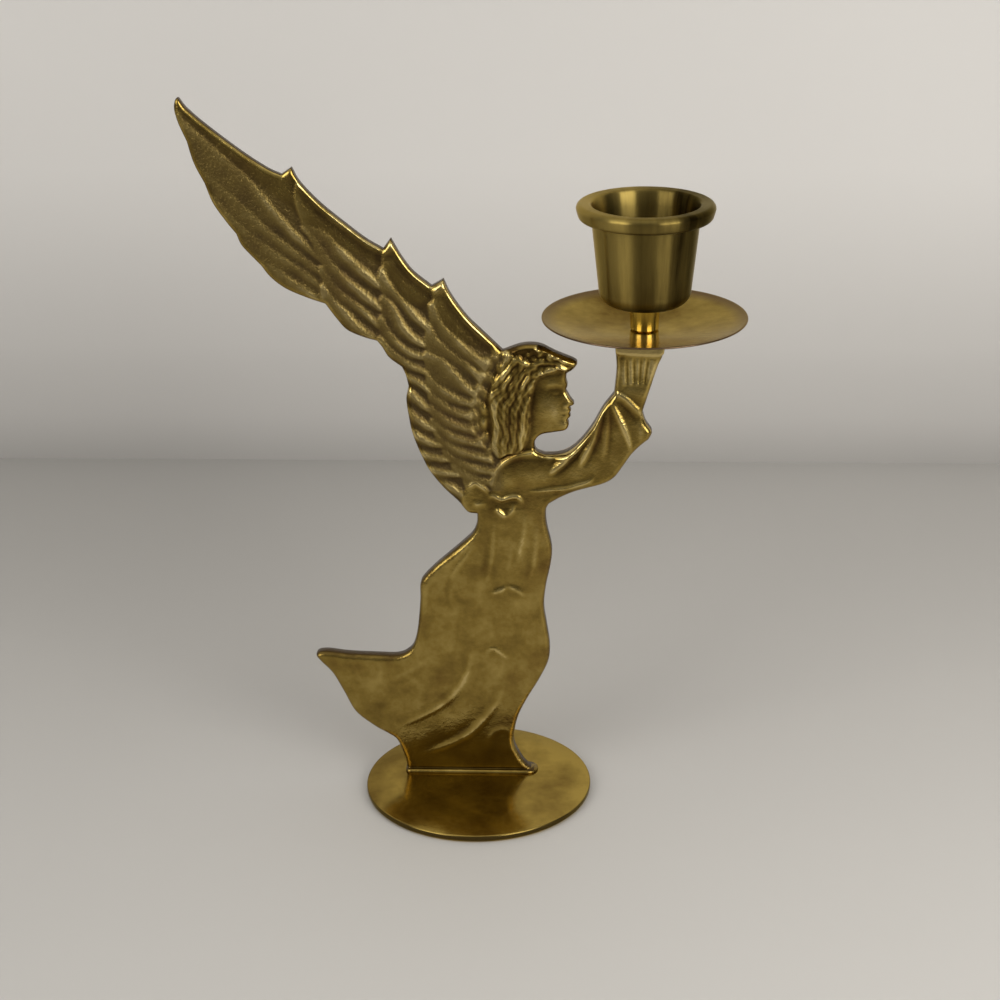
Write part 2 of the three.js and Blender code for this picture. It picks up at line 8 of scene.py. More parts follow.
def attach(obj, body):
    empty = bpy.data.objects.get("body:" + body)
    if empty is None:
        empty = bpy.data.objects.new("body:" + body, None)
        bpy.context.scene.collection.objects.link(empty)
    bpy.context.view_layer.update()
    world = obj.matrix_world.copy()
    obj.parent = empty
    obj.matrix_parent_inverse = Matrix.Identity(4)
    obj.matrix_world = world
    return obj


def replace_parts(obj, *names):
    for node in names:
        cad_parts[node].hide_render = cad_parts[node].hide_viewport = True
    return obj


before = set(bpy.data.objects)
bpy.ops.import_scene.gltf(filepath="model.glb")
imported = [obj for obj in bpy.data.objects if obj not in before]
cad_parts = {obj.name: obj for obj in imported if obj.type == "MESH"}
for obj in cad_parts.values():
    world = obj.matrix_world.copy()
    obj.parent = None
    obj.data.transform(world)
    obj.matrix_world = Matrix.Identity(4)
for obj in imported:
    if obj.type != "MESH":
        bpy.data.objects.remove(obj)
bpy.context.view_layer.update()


# Camera
# A view from a little above, at about arm's length, nearly straight at the flat front of the figure. Places
# are in metres, as everywhere unless a comment says mm.
CAMERA_PLACE = (0.03081, -0.47608, 0.26945)
LOOKS_DOWN = 22.156  # in degrees
TURNED = 2.972  # to the left, in degrees
ROLLED = -0.748  # in degrees

camera = bpy.data.objects.new("camera", bpy.data.cameras.new("camera"))
bpy.context.scene.collection.objects.link(camera)
camera.data.sensor_width = 36
camera.data.lens = 80.064
camera.data.clip_start = 0.01
camera.matrix_world = (
    Matrix.Translation(CAMERA_PLACE)
    @ Matrix.Rotation(math.radians(TURNED), 4, "Z")
    @ Matrix.Rotation(math.pi / 2 - math.radians(LOOKS_DOWN), 4, "X")
    @ Matrix.Rotation(math.radians(ROLLED), 4, "Z")
)
bpy.context.scene.camera = camera
bpy.context.scene.view_settings.view_transform = "Standard"


# Table and wall
# A pale table top with a pale wall close behind it, both matt, with painted shade on both: the table is
# darker towards the front, towards the wall and on the left, and the wall is darker low down by the corner,
# paler upwards and paler on the right. The wall is see-through from behind, so that it never hides the
# object.
WALL_PLACE = 0.2195  # on Y
LEFT_END, RIGHT_END = -1.4, 1.4  # of the table and the wall, on X
TABLE_FRONT = -1.2  # on Y
WALL_TOP = 1.2  # on Z
# Where the painted shade from left to right on both boards stops changing, on X
LEFT_PAINTED_SHADE, RIGHT_PAINTED_SHADE = -0.1, 0.12  # where the shade stops changing on either side, on X


def linear(colour):
    """An sRGB colour written as "#rrggbb", as the linear colour that Blender works in."""
    parts = [int(colour[i:i + 2], 16) / 255 for i in (1, 3, 5)]
    return [p / 12.92 if p <= 0.04045 else ((p + 0.055) / 1.055) ** 2.4 for p in parts] + [1.0]


def add_node(tree, kind, inputs=None, **settings):
    """A new shader node with its settings, and its inputs set to values or linked to sockets."""
    node = tree.nodes.new(kind)
    for name, value in settings.items():
        setattr(node, name, value)
    for name, value in (inputs or {}).items():
        if isinstance(value, bpy.types.NodeSocket):
            tree.links.new(value, node.inputs[name])
        else:
            node.inputs[name].default_value = value
    return node


def new_material(name):
    """An empty material, with its node tree and its shader."""
    material = bpy.data.materials.new(name)
    material.use_nodes = True
    tree = material.node_tree
    return material, tree, tree.nodes["Principled BSDF"]


def set_stops(ramp, stops):
    """Gives a ramp its colours, in order, each with its place from 0 to 1."""
    first, last = ramp.elements
    first.position, first.color = stops[0]
    last.position, last.color = stops[-1]
    for place, colour in stops[1:-1]:
        ramp.elements.new(place).color = colour


def made(name, shape):
    """A bmesh, made an object of the scene."""
    mesh = bpy.data.meshes.new(name)
    shape.to_mesh(mesh)
    shape.free()
    piece = bpy.data.objects.new(name, mesh)
    bpy.context.scene.collection.objects.link(piece)
    return piece


def stage_board(name, corners, axis, low, high, painted_shades, sides):
    """A big flat board of matt paint with painted shade: its colour changes along an axis, between places low
    and high, and it is darker or paler by a share on its left side and on its right."""
    board = bmesh.new()
    board.faces.new([board.verts.new(corner) for corner in corners])
    piece = made(name, board)
    paint, tree, shader = new_material("matt_board_painted_shade_" + name)
    place = add_node(tree, "ShaderNodeTexCoord")
    apart = add_node(tree, "ShaderNodeSeparateXYZ", {"Vector": place.outputs["Object"]})
    along = add_node(tree, "ShaderNodeMapRange", {
        "Value": apart.outputs[axis], "From Min": low, "From Max": high})
    shade = add_node(tree, "ShaderNodeValToRGB", {"Fac": along.outputs["Result"]})
    shade.color_ramp.interpolation = "B_SPLINE"
    set_stops(shade.color_ramp, [(stop, linear(colour)) for stop, colour in painted_shades])
    painted_side_shade = add_node(tree, "ShaderNodeMapRange", {
        "Value": apart.outputs["X"], "From Min": LEFT_PAINTED_SHADE, "From Max": RIGHT_PAINTED_SHADE,
        "To Min": sides[0], "To Max": sides[1]})
    colour = add_node(tree, "ShaderNodeVectorMath", {
        0: shade.outputs["Color"], "Scale": painted_side_shade.outputs["Result"]}, operation="SCALE")
    tree.links.new(colour.outputs["Vector"], shader.inputs["Base Color"])
    shader.inputs["Roughness"].default_value = 0.6
    piece.data.materials.append(paint)
    return tree, shader


# Painted shade on the table: darker towards the front and towards the wall, and darker on the left
stage_board(
    "table", [(LEFT_END, TABLE_FRONT, 0), (RIGHT_END, TABLE_FRONT, 0), (RIGHT_END, WALL_PLACE, 0),
              (LEFT_END, WALL_PLACE, 0)],
    "Y", -0.42, 0.22,
    [(0, "#7c7975"), (0.28, "#8f8c88"), (0.42, "#d2cfca"), (0.56, "#d6d3ce"), (0.8, "#b9b6b1"),
     (1, "#b1aea9")],
    (0.82, 0.98))
# Painted shade on the wall: darker low down by the corner, paler upwards and paler on the right
tree, shader = stage_board(
    "wall", [(RIGHT_END, WALL_PLACE, 0), (RIGHT_END, WALL_PLACE, WALL_TOP), (LEFT_END, WALL_PLACE, WALL_TOP),
             (LEFT_END, WALL_PLACE, 0)],
    "Z", 0.0, 0.1, [(0, "#9f9c98"), (0.16, "#bab7b3"), (0.4, "#bfbcb8"), (1, "#e0ddd9")], (0.95, 1.04))
clear = add_node(tree, "ShaderNodeBsdfTransparent")
from_behind = add_node(tree, "ShaderNodeNewGeometry")
either = add_node(tree, "ShaderNodeMixShader", {
    0: from_behind.outputs["Backfacing"], 1: shader.outputs["BSDF"], 2: clear.outputs["BSDF"]})
tree.links.new(either.outputs["Shader"], tree.nodes["Material Output"].inputs["Surface"])


# Light
# A window to the left and a window to the right in front, in a room that is dark between the two and at the
# sides, and has a pale ceiling.
ROOM_SHADES = [  # all round the room, from straight behind (0) by the left (0.25) and the front to the right
    (0.0, 0.6), (0.22, 0.6), (0.26, 0.25), (0.3, 0.6), (0.42, 0.55), (0.46, 0.34), (0.54, 0.34), (0.58, 0.55),
    (0.7, 0.5), (0.75, 0.1), (0.82, 0.1), (0.9, 0.6), (1.0, 0.6)]
WINDOW_WIDTH, WINDOW_HEIGHT = 0.55, 0.5

world = bpy.data.worlds.new("room_light")
bpy.context.scene.world = world
world.use_nodes = True
tree = world.node_tree
tree.nodes.clear()
direction = add_node(tree, "ShaderNodeTexCoord")
axes = add_node(tree, "ShaderNodeSeparateXYZ", {"Vector": direction.outputs["Generated"]})
forwards = add_node(tree, "ShaderNodeMath", {0: axes.outputs["Y"], 1: -1.0}, operation="MULTIPLY")
turned_by = add_node(tree, "ShaderNodeMath", {
    0: axes.outputs["X"], 1: forwards.outputs["Value"]}, operation="ARCTAN2")
share_round = add_node(tree, "ShaderNodeMapRange", {
    "Value": turned_by.outputs["Value"], "From Min": -math.pi, "From Max": math.pi})
round_room = add_node(tree, "ShaderNodeValToRGB", {"Fac": share_round.outputs["Result"]})
set_stops(round_room.color_ramp, [(stop, (shade, shade, shade, 1)) for stop, shade in ROOM_SHADES])
upwards = add_node(tree, "ShaderNodeMapRange", {
    "Value": axes.outputs["Z"], "From Min": -0.1, "From Max": 0.25, "To Min": 0.25, "To Max": 1.0})
around = add_node(tree, "ShaderNodeMath", {
    0: round_room.outputs["Color"], 1: upwards.outputs["Result"]}, operation="MULTIPLY")
ceiling = add_node(tree, "ShaderNodeMapRange", {"Value": axes.outputs["Z"], "From Min": 0.6, "From Max": 0.9})
strength = add_node(tree, "ShaderNodeMix", {
    "Factor": ceiling.outputs["Result"], "A": around.outputs["Value"], "B": 1.0})
background = add_node(tree, "ShaderNodeBackground", {"Strength": strength.outputs["Result"]})
background.inputs["Color"].default_value = linear("#fbfaf8")
add_node(tree, "ShaderNodeOutputWorld", {"Surface": background.outputs["Background"]})


def window(name, place, brightness):
    """A window as a soft rectangular lamp that faces the middle of the object."""
    lamp = bpy.data.lights.new(name, "AREA")
    lamp.shape = "RECTANGLE"
    lamp.size = WINDOW_WIDTH
    lamp.size_y = WINDOW_HEIGHT
    lamp.energy = brightness * math.pi * WINDOW_WIDTH * WINDOW_HEIGHT
    lamp.color = linear("#fffdf9")[:3]
    holder = bpy.data.objects.new(name, lamp)
    facing = (Vector((0, 0, 0.1)) - Vector(place)).to_track_quat("-Z", "Y")
    holder.matrix_world = Matrix.Translation(place) @ facing.to_matrix().to_4x4()
    bpy.context.scene.collection.objects.link(holder)


window("left_window", (-0.62, -0.64, 0.44), 3.7)
window("right_window", (0.62, -0.68, 0.38), 5.2)


# Figure
# A flat sand-cast brass angel in profile, with the same relief on both faces: a swept wing of four rows of
# feathers, a head with loose hair, a raised sleeved arm and a long skirt. Two screws from below hold it to
# the base.
MIDDLE = 3.3  # of the plate, on Y, in mm
FOOT = 3.0  # height of the figure's foot, in mm
EDGE = 0.75  # half of its thickness at the contour, in mm
SEAT_EDGE = 2.2  # the same at the seat under the cup
ROUNDING = 1.1  # how far in from the contour the edge is rounded, in mm
PIXEL = 0.2  # of the relief map, in mm

# The contour, clockwise from the left end of the foot, in mm: each row is a smooth curve that goes on from
# the end of the row before it, and a row of one point is a straight line to it.
CONTOUR = [
    [(-17.5, 0.4)],
    [(-18, 3.2), (-18.9, 5.9), (-20, 8.4), (-21.8, 9.8), (-25.2, 11.9), (-29.7, 15.8), (-32.4, 21.2),
     (-34.9, 26.1), (-37.6, 29.2), (-38.7, 30.8), (-38, 31.7), (-35.6, 31.9), (-30.8, 31.3), (-23.5, 31),
     (-19.2, 31), (-16.8, 32), (-15.1, 34.1), (-14, 38.8), (-13.3, 45.6), (-13.1, 50), (-11.7, 52.3),
     (-9, 55.1)],
    [(-3.4, 60.1), (-0.6, 62.9), (0.5, 65.5), (0.6, 68)],
    [(-1.6, 68.4), (-3.8, 71.1), (-7, 74.3), (-10.2, 78.5), (-12.4, 83.2), (-14.1, 88.1), (-15, 93.5)],
    [(-15.2, 96.4), (-14.6, 99.3)],
    [(-15.2, 102), (-16, 103.9)],
    [(-18.9, 106.2), (-20.4, 108.7), (-21.5, 110.1)],
    [(-24.6, 111), (-28.2, 112.7), (-30.6, 115.5), (-32.9, 118.8)],
    [(-36.9, 120.2), (-41.6, 122.3), (-44.9, 124.9), (-47, 127.7)],
    [(-49.3, 130.2), (-51.2, 132.5), (-52.2, 135)],
    [(-54.3, 137.8), (-57, 142), (-58.6, 146.5)],
    [(-60.7, 151), (-62, 156)],
    [(-63.6, 160), (-64.3, 163.4), (-63.5, 165.5), (-61.7, 163.2), (-57.5, 159.4), (-50, 153.5),
     (-44.5, 149.8), (-41.5, 148.4)],
    [(-39.2, 150)],
    [(-37.4, 146.6), (-33, 141.8), (-27.7, 137.3), (-23.3, 133.8), (-19.5, 131.5)],
    [(-17.7, 133.9)],
    [(-16.7, 132), (-15.2, 129.4), (-12.8, 126.2), (-8.8, 122.9)],
    [(-6.1, 124.5)],
    [(-4.8, 121.5), (-2.8, 118.3), (-0.4, 115.2), (2.7, 112.1), (7, 107.8)],
    [(9.1, 108.6), (10.9, 109.2), (13.2, 109.5), (15.9, 109.1), (19, 107.5), (23.1, 105.8), (23.9, 104.9),
     (23, 103.5), (21.5, 102.5)],
    [(21.4, 101.1), (21.7, 99.7), (21.3, 98.5)],
    [(22.3, 96.6), (23.2, 95.2), (22.1, 94.4)],
    [(22.5, 93.6), (22.1, 92.9)],
    [(22.4, 92.2), (21.7, 91.4)],
    [(22, 90.2), (21.2, 88.8), (18.3, 88.2), (15.6, 87.6), (14.2, 86), (14.5, 83.8), (16.4, 82.8)],
    [(19.2, 82.9), (21.8, 83.7), (24.5, 86), (27.3, 89.8), (29.8, 94.4), (32.3, 97.8)],
    [(32.6, 101), (32.8, 104), (32.6, 107.2)],
    [(32.25, 111.9)], [(44.0, 111.9)],
    [(43.3, 107.2), (42.1, 104.2), (40.2, 98), (38.8, 93.4)],
    [(39.6, 90.9), (41, 88.6), (40.4, 86.8)],
    [(38.3, 85), (36.3, 82.8), (34.2, 79.6), (32.4, 77.2), (29.7, 75.6), (23.9, 73.9), (20.4, 72.4),
     (17.4, 70.6)],
    [(16.7, 69), (16.8, 65.4), (18, 59.5), (17.7, 55.2), (16.6, 49.8), (16.1, 44.5), (16.7, 39.7),
     (17.4, 34.5), (17.1, 30.1), (15, 25.3), (12.1, 20.1), (9.9, 15.5), (8.8, 11.2), (8.6, 8.2), (9.4, 5.6),
     (11.2, 2.4), (13.2, 0.4)],
]

# The ends of the feathers in each row, from the wing's upper to its lower edge, outermost row first
ROW_ENDS = [
    [(-38.6, 150.4), (-37.6, 138.1), (-35.9, 135.1), (-34.3, 131.7), (-33.5, 128.2), (-33.5, 124.8),
     (-33.4, 121.7), (-32.9, 118)],
    [(-17.5, 134.5), (-18.6, 132.4), (-19.6, 128.9), (-20.2, 125.9), (-20, 122.5), (-20.2, 118.9),
     (-20.5, 115.4), (-20.8, 111.9), (-21.2, 109)],
    [(-6, 125), (-7.4, 123.2), (-8.6, 120.1), (-9.4, 116.6), (-9.9, 113.1), (-10.5, 108.8), (-10.6, 105.5),
     (-10.2, 101.7), (-9.9, 97.6), (-9.7, 93.5), (-9.1, 89.6), (-7.6, 85.6), (-6.1, 82.2), (-4.3, 79.2),
     (-1.4, 74.4)],
]
SHOULDER = [(7.2, 108.4), (6, 106.9), (4.2, 106.1), (3.2, 103.6), (1.8, 100), (0.6, 96.4), (-0.3, 92.8),
            (0, 89.1), (2.1, 85.5), (4.2, 82), (4.6, 78)]

# The lines between the feathers of each row, outermost row first, from the upper to the lower edge
BETWEEN = [
    [[(-56.5, 155.8), (-50, 149.6), (-44, 144.8), (-39.2, 140.6), (-37.4, 138.4)],
     [(-60.8, 151.2), (-54, 145.6), (-46, 138.1), (-42.2, 135.1), (-37.9, 131.7), (-34.2, 128.9)],
     [(-58.6, 146.5), (-51.8, 138.2), (-47.2, 134.2), (-41.3, 130.3), (-34.1, 125.7)],
     [(-52.4, 134.8), (-46.6, 129.6), (-42.6, 127), (-38.2, 124.9), (-33.8, 122.2)]],
    [[(-38.5, 138.1), (-32.3, 135.8), (-29.9, 133.5), (-26.2, 131.2), (-20.1, 128)],
     [(-34.8, 134.6), (-33.1, 132.6), (-30.8, 128.9), (-26.5, 125.5), (-20.7, 122)],
     [(-33.3, 128), (-30.6, 123.8), (-26.6, 120.6), (-21.3, 117.3)],
     [(-32.8, 123.4), (-30.3, 120.1), (-26.3, 117.3), (-21, 112.6)]],
    [[(-19.2, 127.1), (-17.5, 123.6), (-14.7, 120.1), (-10.5, 117.8)],
     [(-19.9, 121.1), (-16.8, 119), (-13.7, 115), (-10.6, 112.6)],
     [(-20, 116.4), (-17.9, 112.4), (-14.3, 109.5), (-10.7, 108.4)],
     [(-20.4, 111.6), (-18, 108.6), (-14.4, 106.2), (-10.8, 105.5)],
     [(-17, 105), (-14.1, 103.1), (-10.9, 101.9)],
     [(-14.6, 100.2), (-12.3, 99), (-10.1, 97.3)],
     [(-14.4, 95.8), (-12, 93.7), (-9.7, 92.7)],
     [(-13.9, 90.4), (-11.2, 88.6), (-8.9, 88.1)],
     [(-12.7, 85.4), (-10, 84.2), (-7.6, 84.2)],
     [(-10.7, 80.9), (-7.7, 80.5), (-5.4, 80.7)],
     [(-8, 77), (-5.5, 76.8), (-3, 77)]],
    [[(-7.8, 117.8), (-5.6, 113.6), (-1.2, 110.1), (3.3, 107.9)],
     [(-9.6, 115.9), (-7.5, 111.2), (-3.7, 107.4), (0.5, 104.6)],
     [(-10.7, 108.4), (-7.1, 106.7), (-2.6, 104.6), (0.7, 101.2)],
     [(-10.4, 103.1), (-8.2, 100.5), (-4.6, 98.6), (-0.5, 97.1)],
     [(-9.8, 98.5), (-7.4, 96.6), (-4, 94.9), (-1, 94.5)],
     [(-9.7, 95.2), (-7, 93.2), (-4, 91.8), (-1.1, 91.3)],
     [(-9.3, 91.8), (-6.8, 89.8), (-4.1, 88.6), (-2, 88.1)],
     [(-8.2, 88.3), (-6.2, 86.4), (-3.5, 85.2), (-0.3, 84.7)],
     [(-7.2, 84.7), (-4.9, 82.7), (-1.9, 81.5), (1.1, 81)],
     [(-5.6, 81.2), (-3.1, 79.5), (0.3, 78), (2.6, 77.8)],
     [(-3.4, 77.6), (-1.4, 76.4), (1, 75.8)]],
]


def trace(points, step=0.5):
    """A smooth curve through points, as close points."""
    points = np.array(points, float)
    if len(points) < 3:
        count = max(2, int(np.linalg.norm(points[-1] - points[0]) / step) + 1)
        return points[0] + (points[-1] - points[0]) * np.linspace(0, 1, count)[:, None]
    padded = np.vstack([2 * points[0] - points[1], points, 2 * points[-1] - points[-2]])
    pieces = []
    for before, start, end, after in zip(padded, padded[1:], padded[2:], padded[3:]):
        count = max(1, int(round(np.linalg.norm(end - start) / step)))
        t = np.arange(count)[:, None] / count
        pieces.append(0.5 * (
            2 * start + (end - before) * t + (2 * before - 5 * start + 4 * end - after) * t**2
            + (3 * start - before - 3 * end + after) * t**3))
    return np.vstack(pieces + [points[-1:]])


def smooth(low, high, value):
    """0 below low, 1 above high and an S-shaped rise between them."""
    t = np.clip((value - low) / (high - low), 0, 1)
    return t * t * (3 - 2 * t)


columns = np.arange(-67, 47, PIXEL)
rows = np.arange(-2, 169, PIXEL)
map_x, map_z = np.meshgrid(columns, rows)


def near(line, reach=12):
    """The part of the map within reach of a line: its slice, the distance, the side (positive on the left as
    the line runs) and how far along the line the nearest point is, from 0 to 1."""
    line = np.asarray(line, float)

    def part_round(low, high):
        return (slice(*np.searchsorted(rows, [low[1] - reach, high[1] + reach])),
                slice(*np.searchsorted(columns, [low[0] - reach, high[0] + reach])))

    whole = part_round(line.min(0), line.max(0))
    best = np.full(map_x.shape, 1e9)
    side = np.zeros(map_x.shape)
    along = np.zeros(map_x.shape)
    lengths = np.concatenate([[0], np.cumsum(np.linalg.norm(np.diff(line, axis=0), axis=1))])
    for i, (start, end) in enumerate(zip(line, line[1:])):
        part = part_round(np.minimum(start, end), np.maximum(start, end))
        x, z = map_x[part] - start[0], map_z[part] - start[1]
        dx, dz = end - start
        t = np.clip((x * dx + z * dz) / (dx * dx + dz * dz + 1e-12), 0, 1)
        gap = (x - t * dx) ** 2 + (z - t * dz) ** 2
        closer = gap < best[part]
        best[part] = np.where(closer, gap, best[part])
        side[part] = np.where(closer, np.sign(dx * z - dz * x), side[part])
        along[part] = np.where(closer, lengths[i] + t * (lengths[i + 1] - lengths[i]), along[part])
    return whole, np.sqrt(best[whole]), side[whole], along[whole] / lengths[-1]


def within(outline):
    """Where the map lies inside a closed outline."""
    inside = np.zeros(map_x.shape, bool)
    for (ax, az), (bx, bz) in zip(outline, np.roll(outline, -1, axis=0)):
        part = slice(*np.searchsorted(rows, [min(az, bz), max(az, bz)]))
        inside[part] ^= map_x[part] < (bx - ax) * (map_z[part] - az) / (bz - az + 1e-12) + ax
    return inside


def signed(outline, reach=10):
    """The distance from a closed outline over the map, up to reach, positive inside."""
    closed = np.vstack([outline, outline[:1]])
    gap = np.full(map_x.shape, float(reach))
    part, found, _, _ = near(closed, reach)
    gap[part] = np.minimum(found, reach)
    return np.where(within(outline), gap, -gap)


def spread(line, reach=14):
    """The distance from a line over the whole map, positive on its left, and very far beyond reach."""
    gap = np.full(map_x.shape, 1e9)
    part, found, side, _ = near(line, reach)
    gap[part] = found * np.where(side < 0, -1, 1)
    return gap


def ridge(line, rise, width, blunt=0.5, lean=0.0):
    """Raises a rounded ridge on the relief, tapered at both ends; with lean it is steeper on its left."""
    part, gap, side, along = near(trace(line), 4 * width)
    taper = np.clip(np.sin(np.pi * np.clip(along, 0.001, 0.999)), 0, 1) ** blunt
    breadth = width * taper * np.where(side > 0, 1 - lean, 1 + lean) + 0.08
    relief[part] += rise * taper * np.exp(-((gap / breadth) ** 2))


def groove(line, depth, width, blunt=0.4):
    """Cuts a V-shaped groove in the relief, tapered at both ends."""
    part, gap, _, along = near(trace(line), 4 * width)
    taper = np.clip(np.sin(np.pi * np.clip(along, 0.001, 0.999)), 0, 1) ** blunt
    relief[part] -= depth * taper * np.exp(-(gap / (width * (0.35 + 0.65 * taper))))


def longer(line, reach=8):
    """The line, carried straight on past both its ends."""
    line = trace(line, 1.0)
    first = line[0] - (line[2] - line[0]) / np.linalg.norm(line[2] - line[0]) * reach
    last = line[-1] + (line[-1] - line[-3]) / np.linalg.norm(line[-1] - line[-3]) * reach
    return np.vstack([first, line, last])


contour = []
previous = CONTOUR[-1][-1]
for run in CONTOUR:
    contour.append(trace([previous] + run, 0.35)[1:])
    previous = run[-1]
contour = np.vstack(contour)
to_edge = signed(contour)


def dome(place, size, rise, turn=0.0):
    """Raises a soft oval on the relief, or sinks it; turn is in degrees."""
    part = near(np.array([place, place]) + [[0, 0], [1e-3, 0]], 1.6 * max(size))[0]
    x, z = map_x[part] - place[0], map_z[part] - place[1]
    c, s = math.cos(math.radians(turn)), math.sin(math.radians(turn))
    far = np.hypot((c * x + s * z) / size[0], (c * z - s * x) / size[1])
    relief[part] += rise * (1 - smooth(0.0, 1.25, far))


def plateau(outline, level, soft=0.25):
    """Brings the relief to a level inside a closed outline, with a soft step at its edge. The level is a
    number or a map."""
    inside = signed(trace(outline + outline[:1], 0.4)[:-1])
    share = smooth(-soft / 2, soft / 2, inside)
    relief[:] = relief * (1 - share) + level * share
    return inside


# The wing: each feather is a shallow leaf. Its crest starts on the upper line at the tip and crosses to the
# lower line at the root, with a slope above it that faces upwards and a hollow below it. The ends of a row
# stand over the roots of the next row out.
ROW_LEVEL = [1.4, 1.52, 1.64, 1.8]
ROW_WIDTH = [4.2, 3.6, 3.0, 2.6]
ROW_REACH = [11, 12, 10, 10]  # from the root to where the crest meets the upper line
ROW_CREST = [0.5, 0.7, 0.76, 0.6]  # height of the crest at the root


def feather_row(lines, roots, level, width, reach, crest):
    """The relief of one row of feathers, as if it covered the whole wing, how far across its feather each
    point lies, and where the uppermost feather is."""
    upper = np.full(map_x.shape, 1e9)
    lower = np.full(map_x.shape, 1e9)
    for line in lines:
        gap = spread(longer(line))
        upper = np.where(gap < 0, np.minimum(upper, -gap), upper)
        lower = np.where((gap > 0) & (gap < 1e8), np.minimum(lower, gap), lower)
    rim = np.maximum(to_edge, 0)
    blade = upper > 1e8
    upper = np.where(blade, rim, upper)
    lower = np.where(lower > 1e8, rim, lower)
    whole = upper + lower + 1e-6
    across = upper / whole
    size = np.clip(whole / width, 0.3, 1.2)
    rooted = 1 - np.clip(np.abs(spread(longer(roots), 120)) / reach, 0, 1)
    crest_at = whole * (0.1 + 0.74 * rooted)
    slope = np.minimum(0.5 + 1.3 * rooted * size, crest_at)
    climb = np.clip((upper - crest_at + slope) / slope, 0, 1)
    fall = np.clip(lower / (whole - crest_at), 0, 1) ** 1.5
    lively = (0.42 + 0.58 * rooted) * (0.84 + 0.16 * smooth(92, 112, map_z)) * (1 - blade)
    form = level + crest * size * lively * climb * fall
    form -= 0.12 * np.exp(-upper / 0.16) * np.clip(size, 0, 1)
    barbs = np.sin(np.clip(upper, 0, 6) * 6.5)
    form += 0.02 * size * barbs * smooth(0.3, 0.8, upper) * smooth(0.3, 0.8, lower)
    return form, across, blade * 1.0


maps = [feather_row(*row) for row in zip(
    BETWEEN, ROW_ENDS + [SHOULDER], ROW_LEVEL, ROW_WIDTH, ROW_REACH, ROW_CREST)]
relief, _, blades = maps[0]
for ends, (form, across, blade) in zip(ROW_ENDS, maps[1:]):
    inside = spread(longer(ends), 120) + 0.8 * np.clip(4 * across * (1 - across), 0, 1) - 0.3
    rooted = relief - 0.14 * np.exp(-np.clip(-inside, 0, 20) / 0.3)
    tipped = form + 0.12 * np.exp(-np.clip(inside, 0, 20) / 2.5)
    tipped += 0.05 * np.exp(-(((inside - 0.3) / 0.22) ** 2))
    step = smooth(-0.1, 0.12, inside)
    relief = rooted * (1 - step) + tipped * step
    blades = blades * (1 - step) + blade * step

# The uppermost feather of each inner row is a smooth hollow blade with a raised rim along the wing's edge
for line in ([(-39, 149.2), (-37, 146.2), (-32.7, 141.3), (-27.4, 136.8), (-23.1, 133.4), (-19.6, 131.2)],
             [(-17.6, 133), (-16.3, 131.4), (-14.8, 128.8), (-12.4, 125.7), (-8.6, 122.4)],
             [(-6, 123.6), (-4.5, 120.8), (-2.4, 117.6), (0, 114.5), (3.1, 111.3), (6.4, 108.2)]):
    part, gap, side, along = near(trace(line), 4)
    below = np.clip(gap * np.where(side < 0, 1, -1), 0, 4)
    relief[part] -= 0.2 * np.exp(-(((below - 1.5) / 1.1) ** 2)) * smooth(0, 0.15, along)
    ridge(line, 0.26, 0.3, 0.25)

# Everything to the right of the shoulder line is the body, and the waist with its bow lies over the end of
# the wing
SHOULDER_DOWN = SHOULDER + [(5.2, 70)]
body = smooth(-0.1, 0.2, spread(longer(SHOULDER_DOWN, 30), 120)) * smooth(68, 70, map_z)
relief = relief * (1 - body) + 1.7 * body
waist = smooth(-0.2, 0.2, plateau([
    (-1.8, 74.8), (-0.9, 75.6), (0, 76.1), (0.7, 76.1), (1.7, 75.3), (3.3, 73.8), (5, 74), (18, 74), (18, 68),
    (0.4, 67.6), (-2.4, 69), (-2.8, 72)], 2.08, 0.4))

# Small feathers like scales along the shoulder
for place, size, turn in (
        ((5.2, 107.2), (1.5, 0.7), -70), ((3.7, 105.2), (1.5, 0.75), -60), ((6.1, 104.4), (1.4, 0.7), -75),
        ((2.7, 102.2), (1.6, 0.8), -60), ((4.6, 101.3), (1.5, 0.8), -65), ((1.7, 99), (1.5, 0.75), -65),
        ((3, 97.6), (1.4, 0.75), -70), ((0.9, 95.9), (1.5, 0.8), -70), ((2.6, 94.2), (1.5, 0.75), -75),
        ((0.5, 92.6), (1.5, 0.8), -80), ((2.5, 90.7), (1.5, 0.8), -85), ((0.9, 89.6), (1.3, 0.75), -95),
        ((3, 87.4), (1.6, 0.8), -100), ((2, 86.6), (1.2, 0.7), -110), ((4, 84.3), (1.4, 0.7), -105)):
    dome(place, (size[0] * 1.15, size[1] * 1.15), 0.36, turn)
for line in ([(6.6, 106.4), (5, 103.8), (3.9, 101.6)], [(4.4, 99.8), (3.1, 96.4), (3, 93)],
             [(3.4, 91.6), (3.5, 88.6), (4.4, 85.6)]):
    groove(line, 0.25, 0.35)
ridge(SHOULDER, 0.22, 0.35, 0.2)

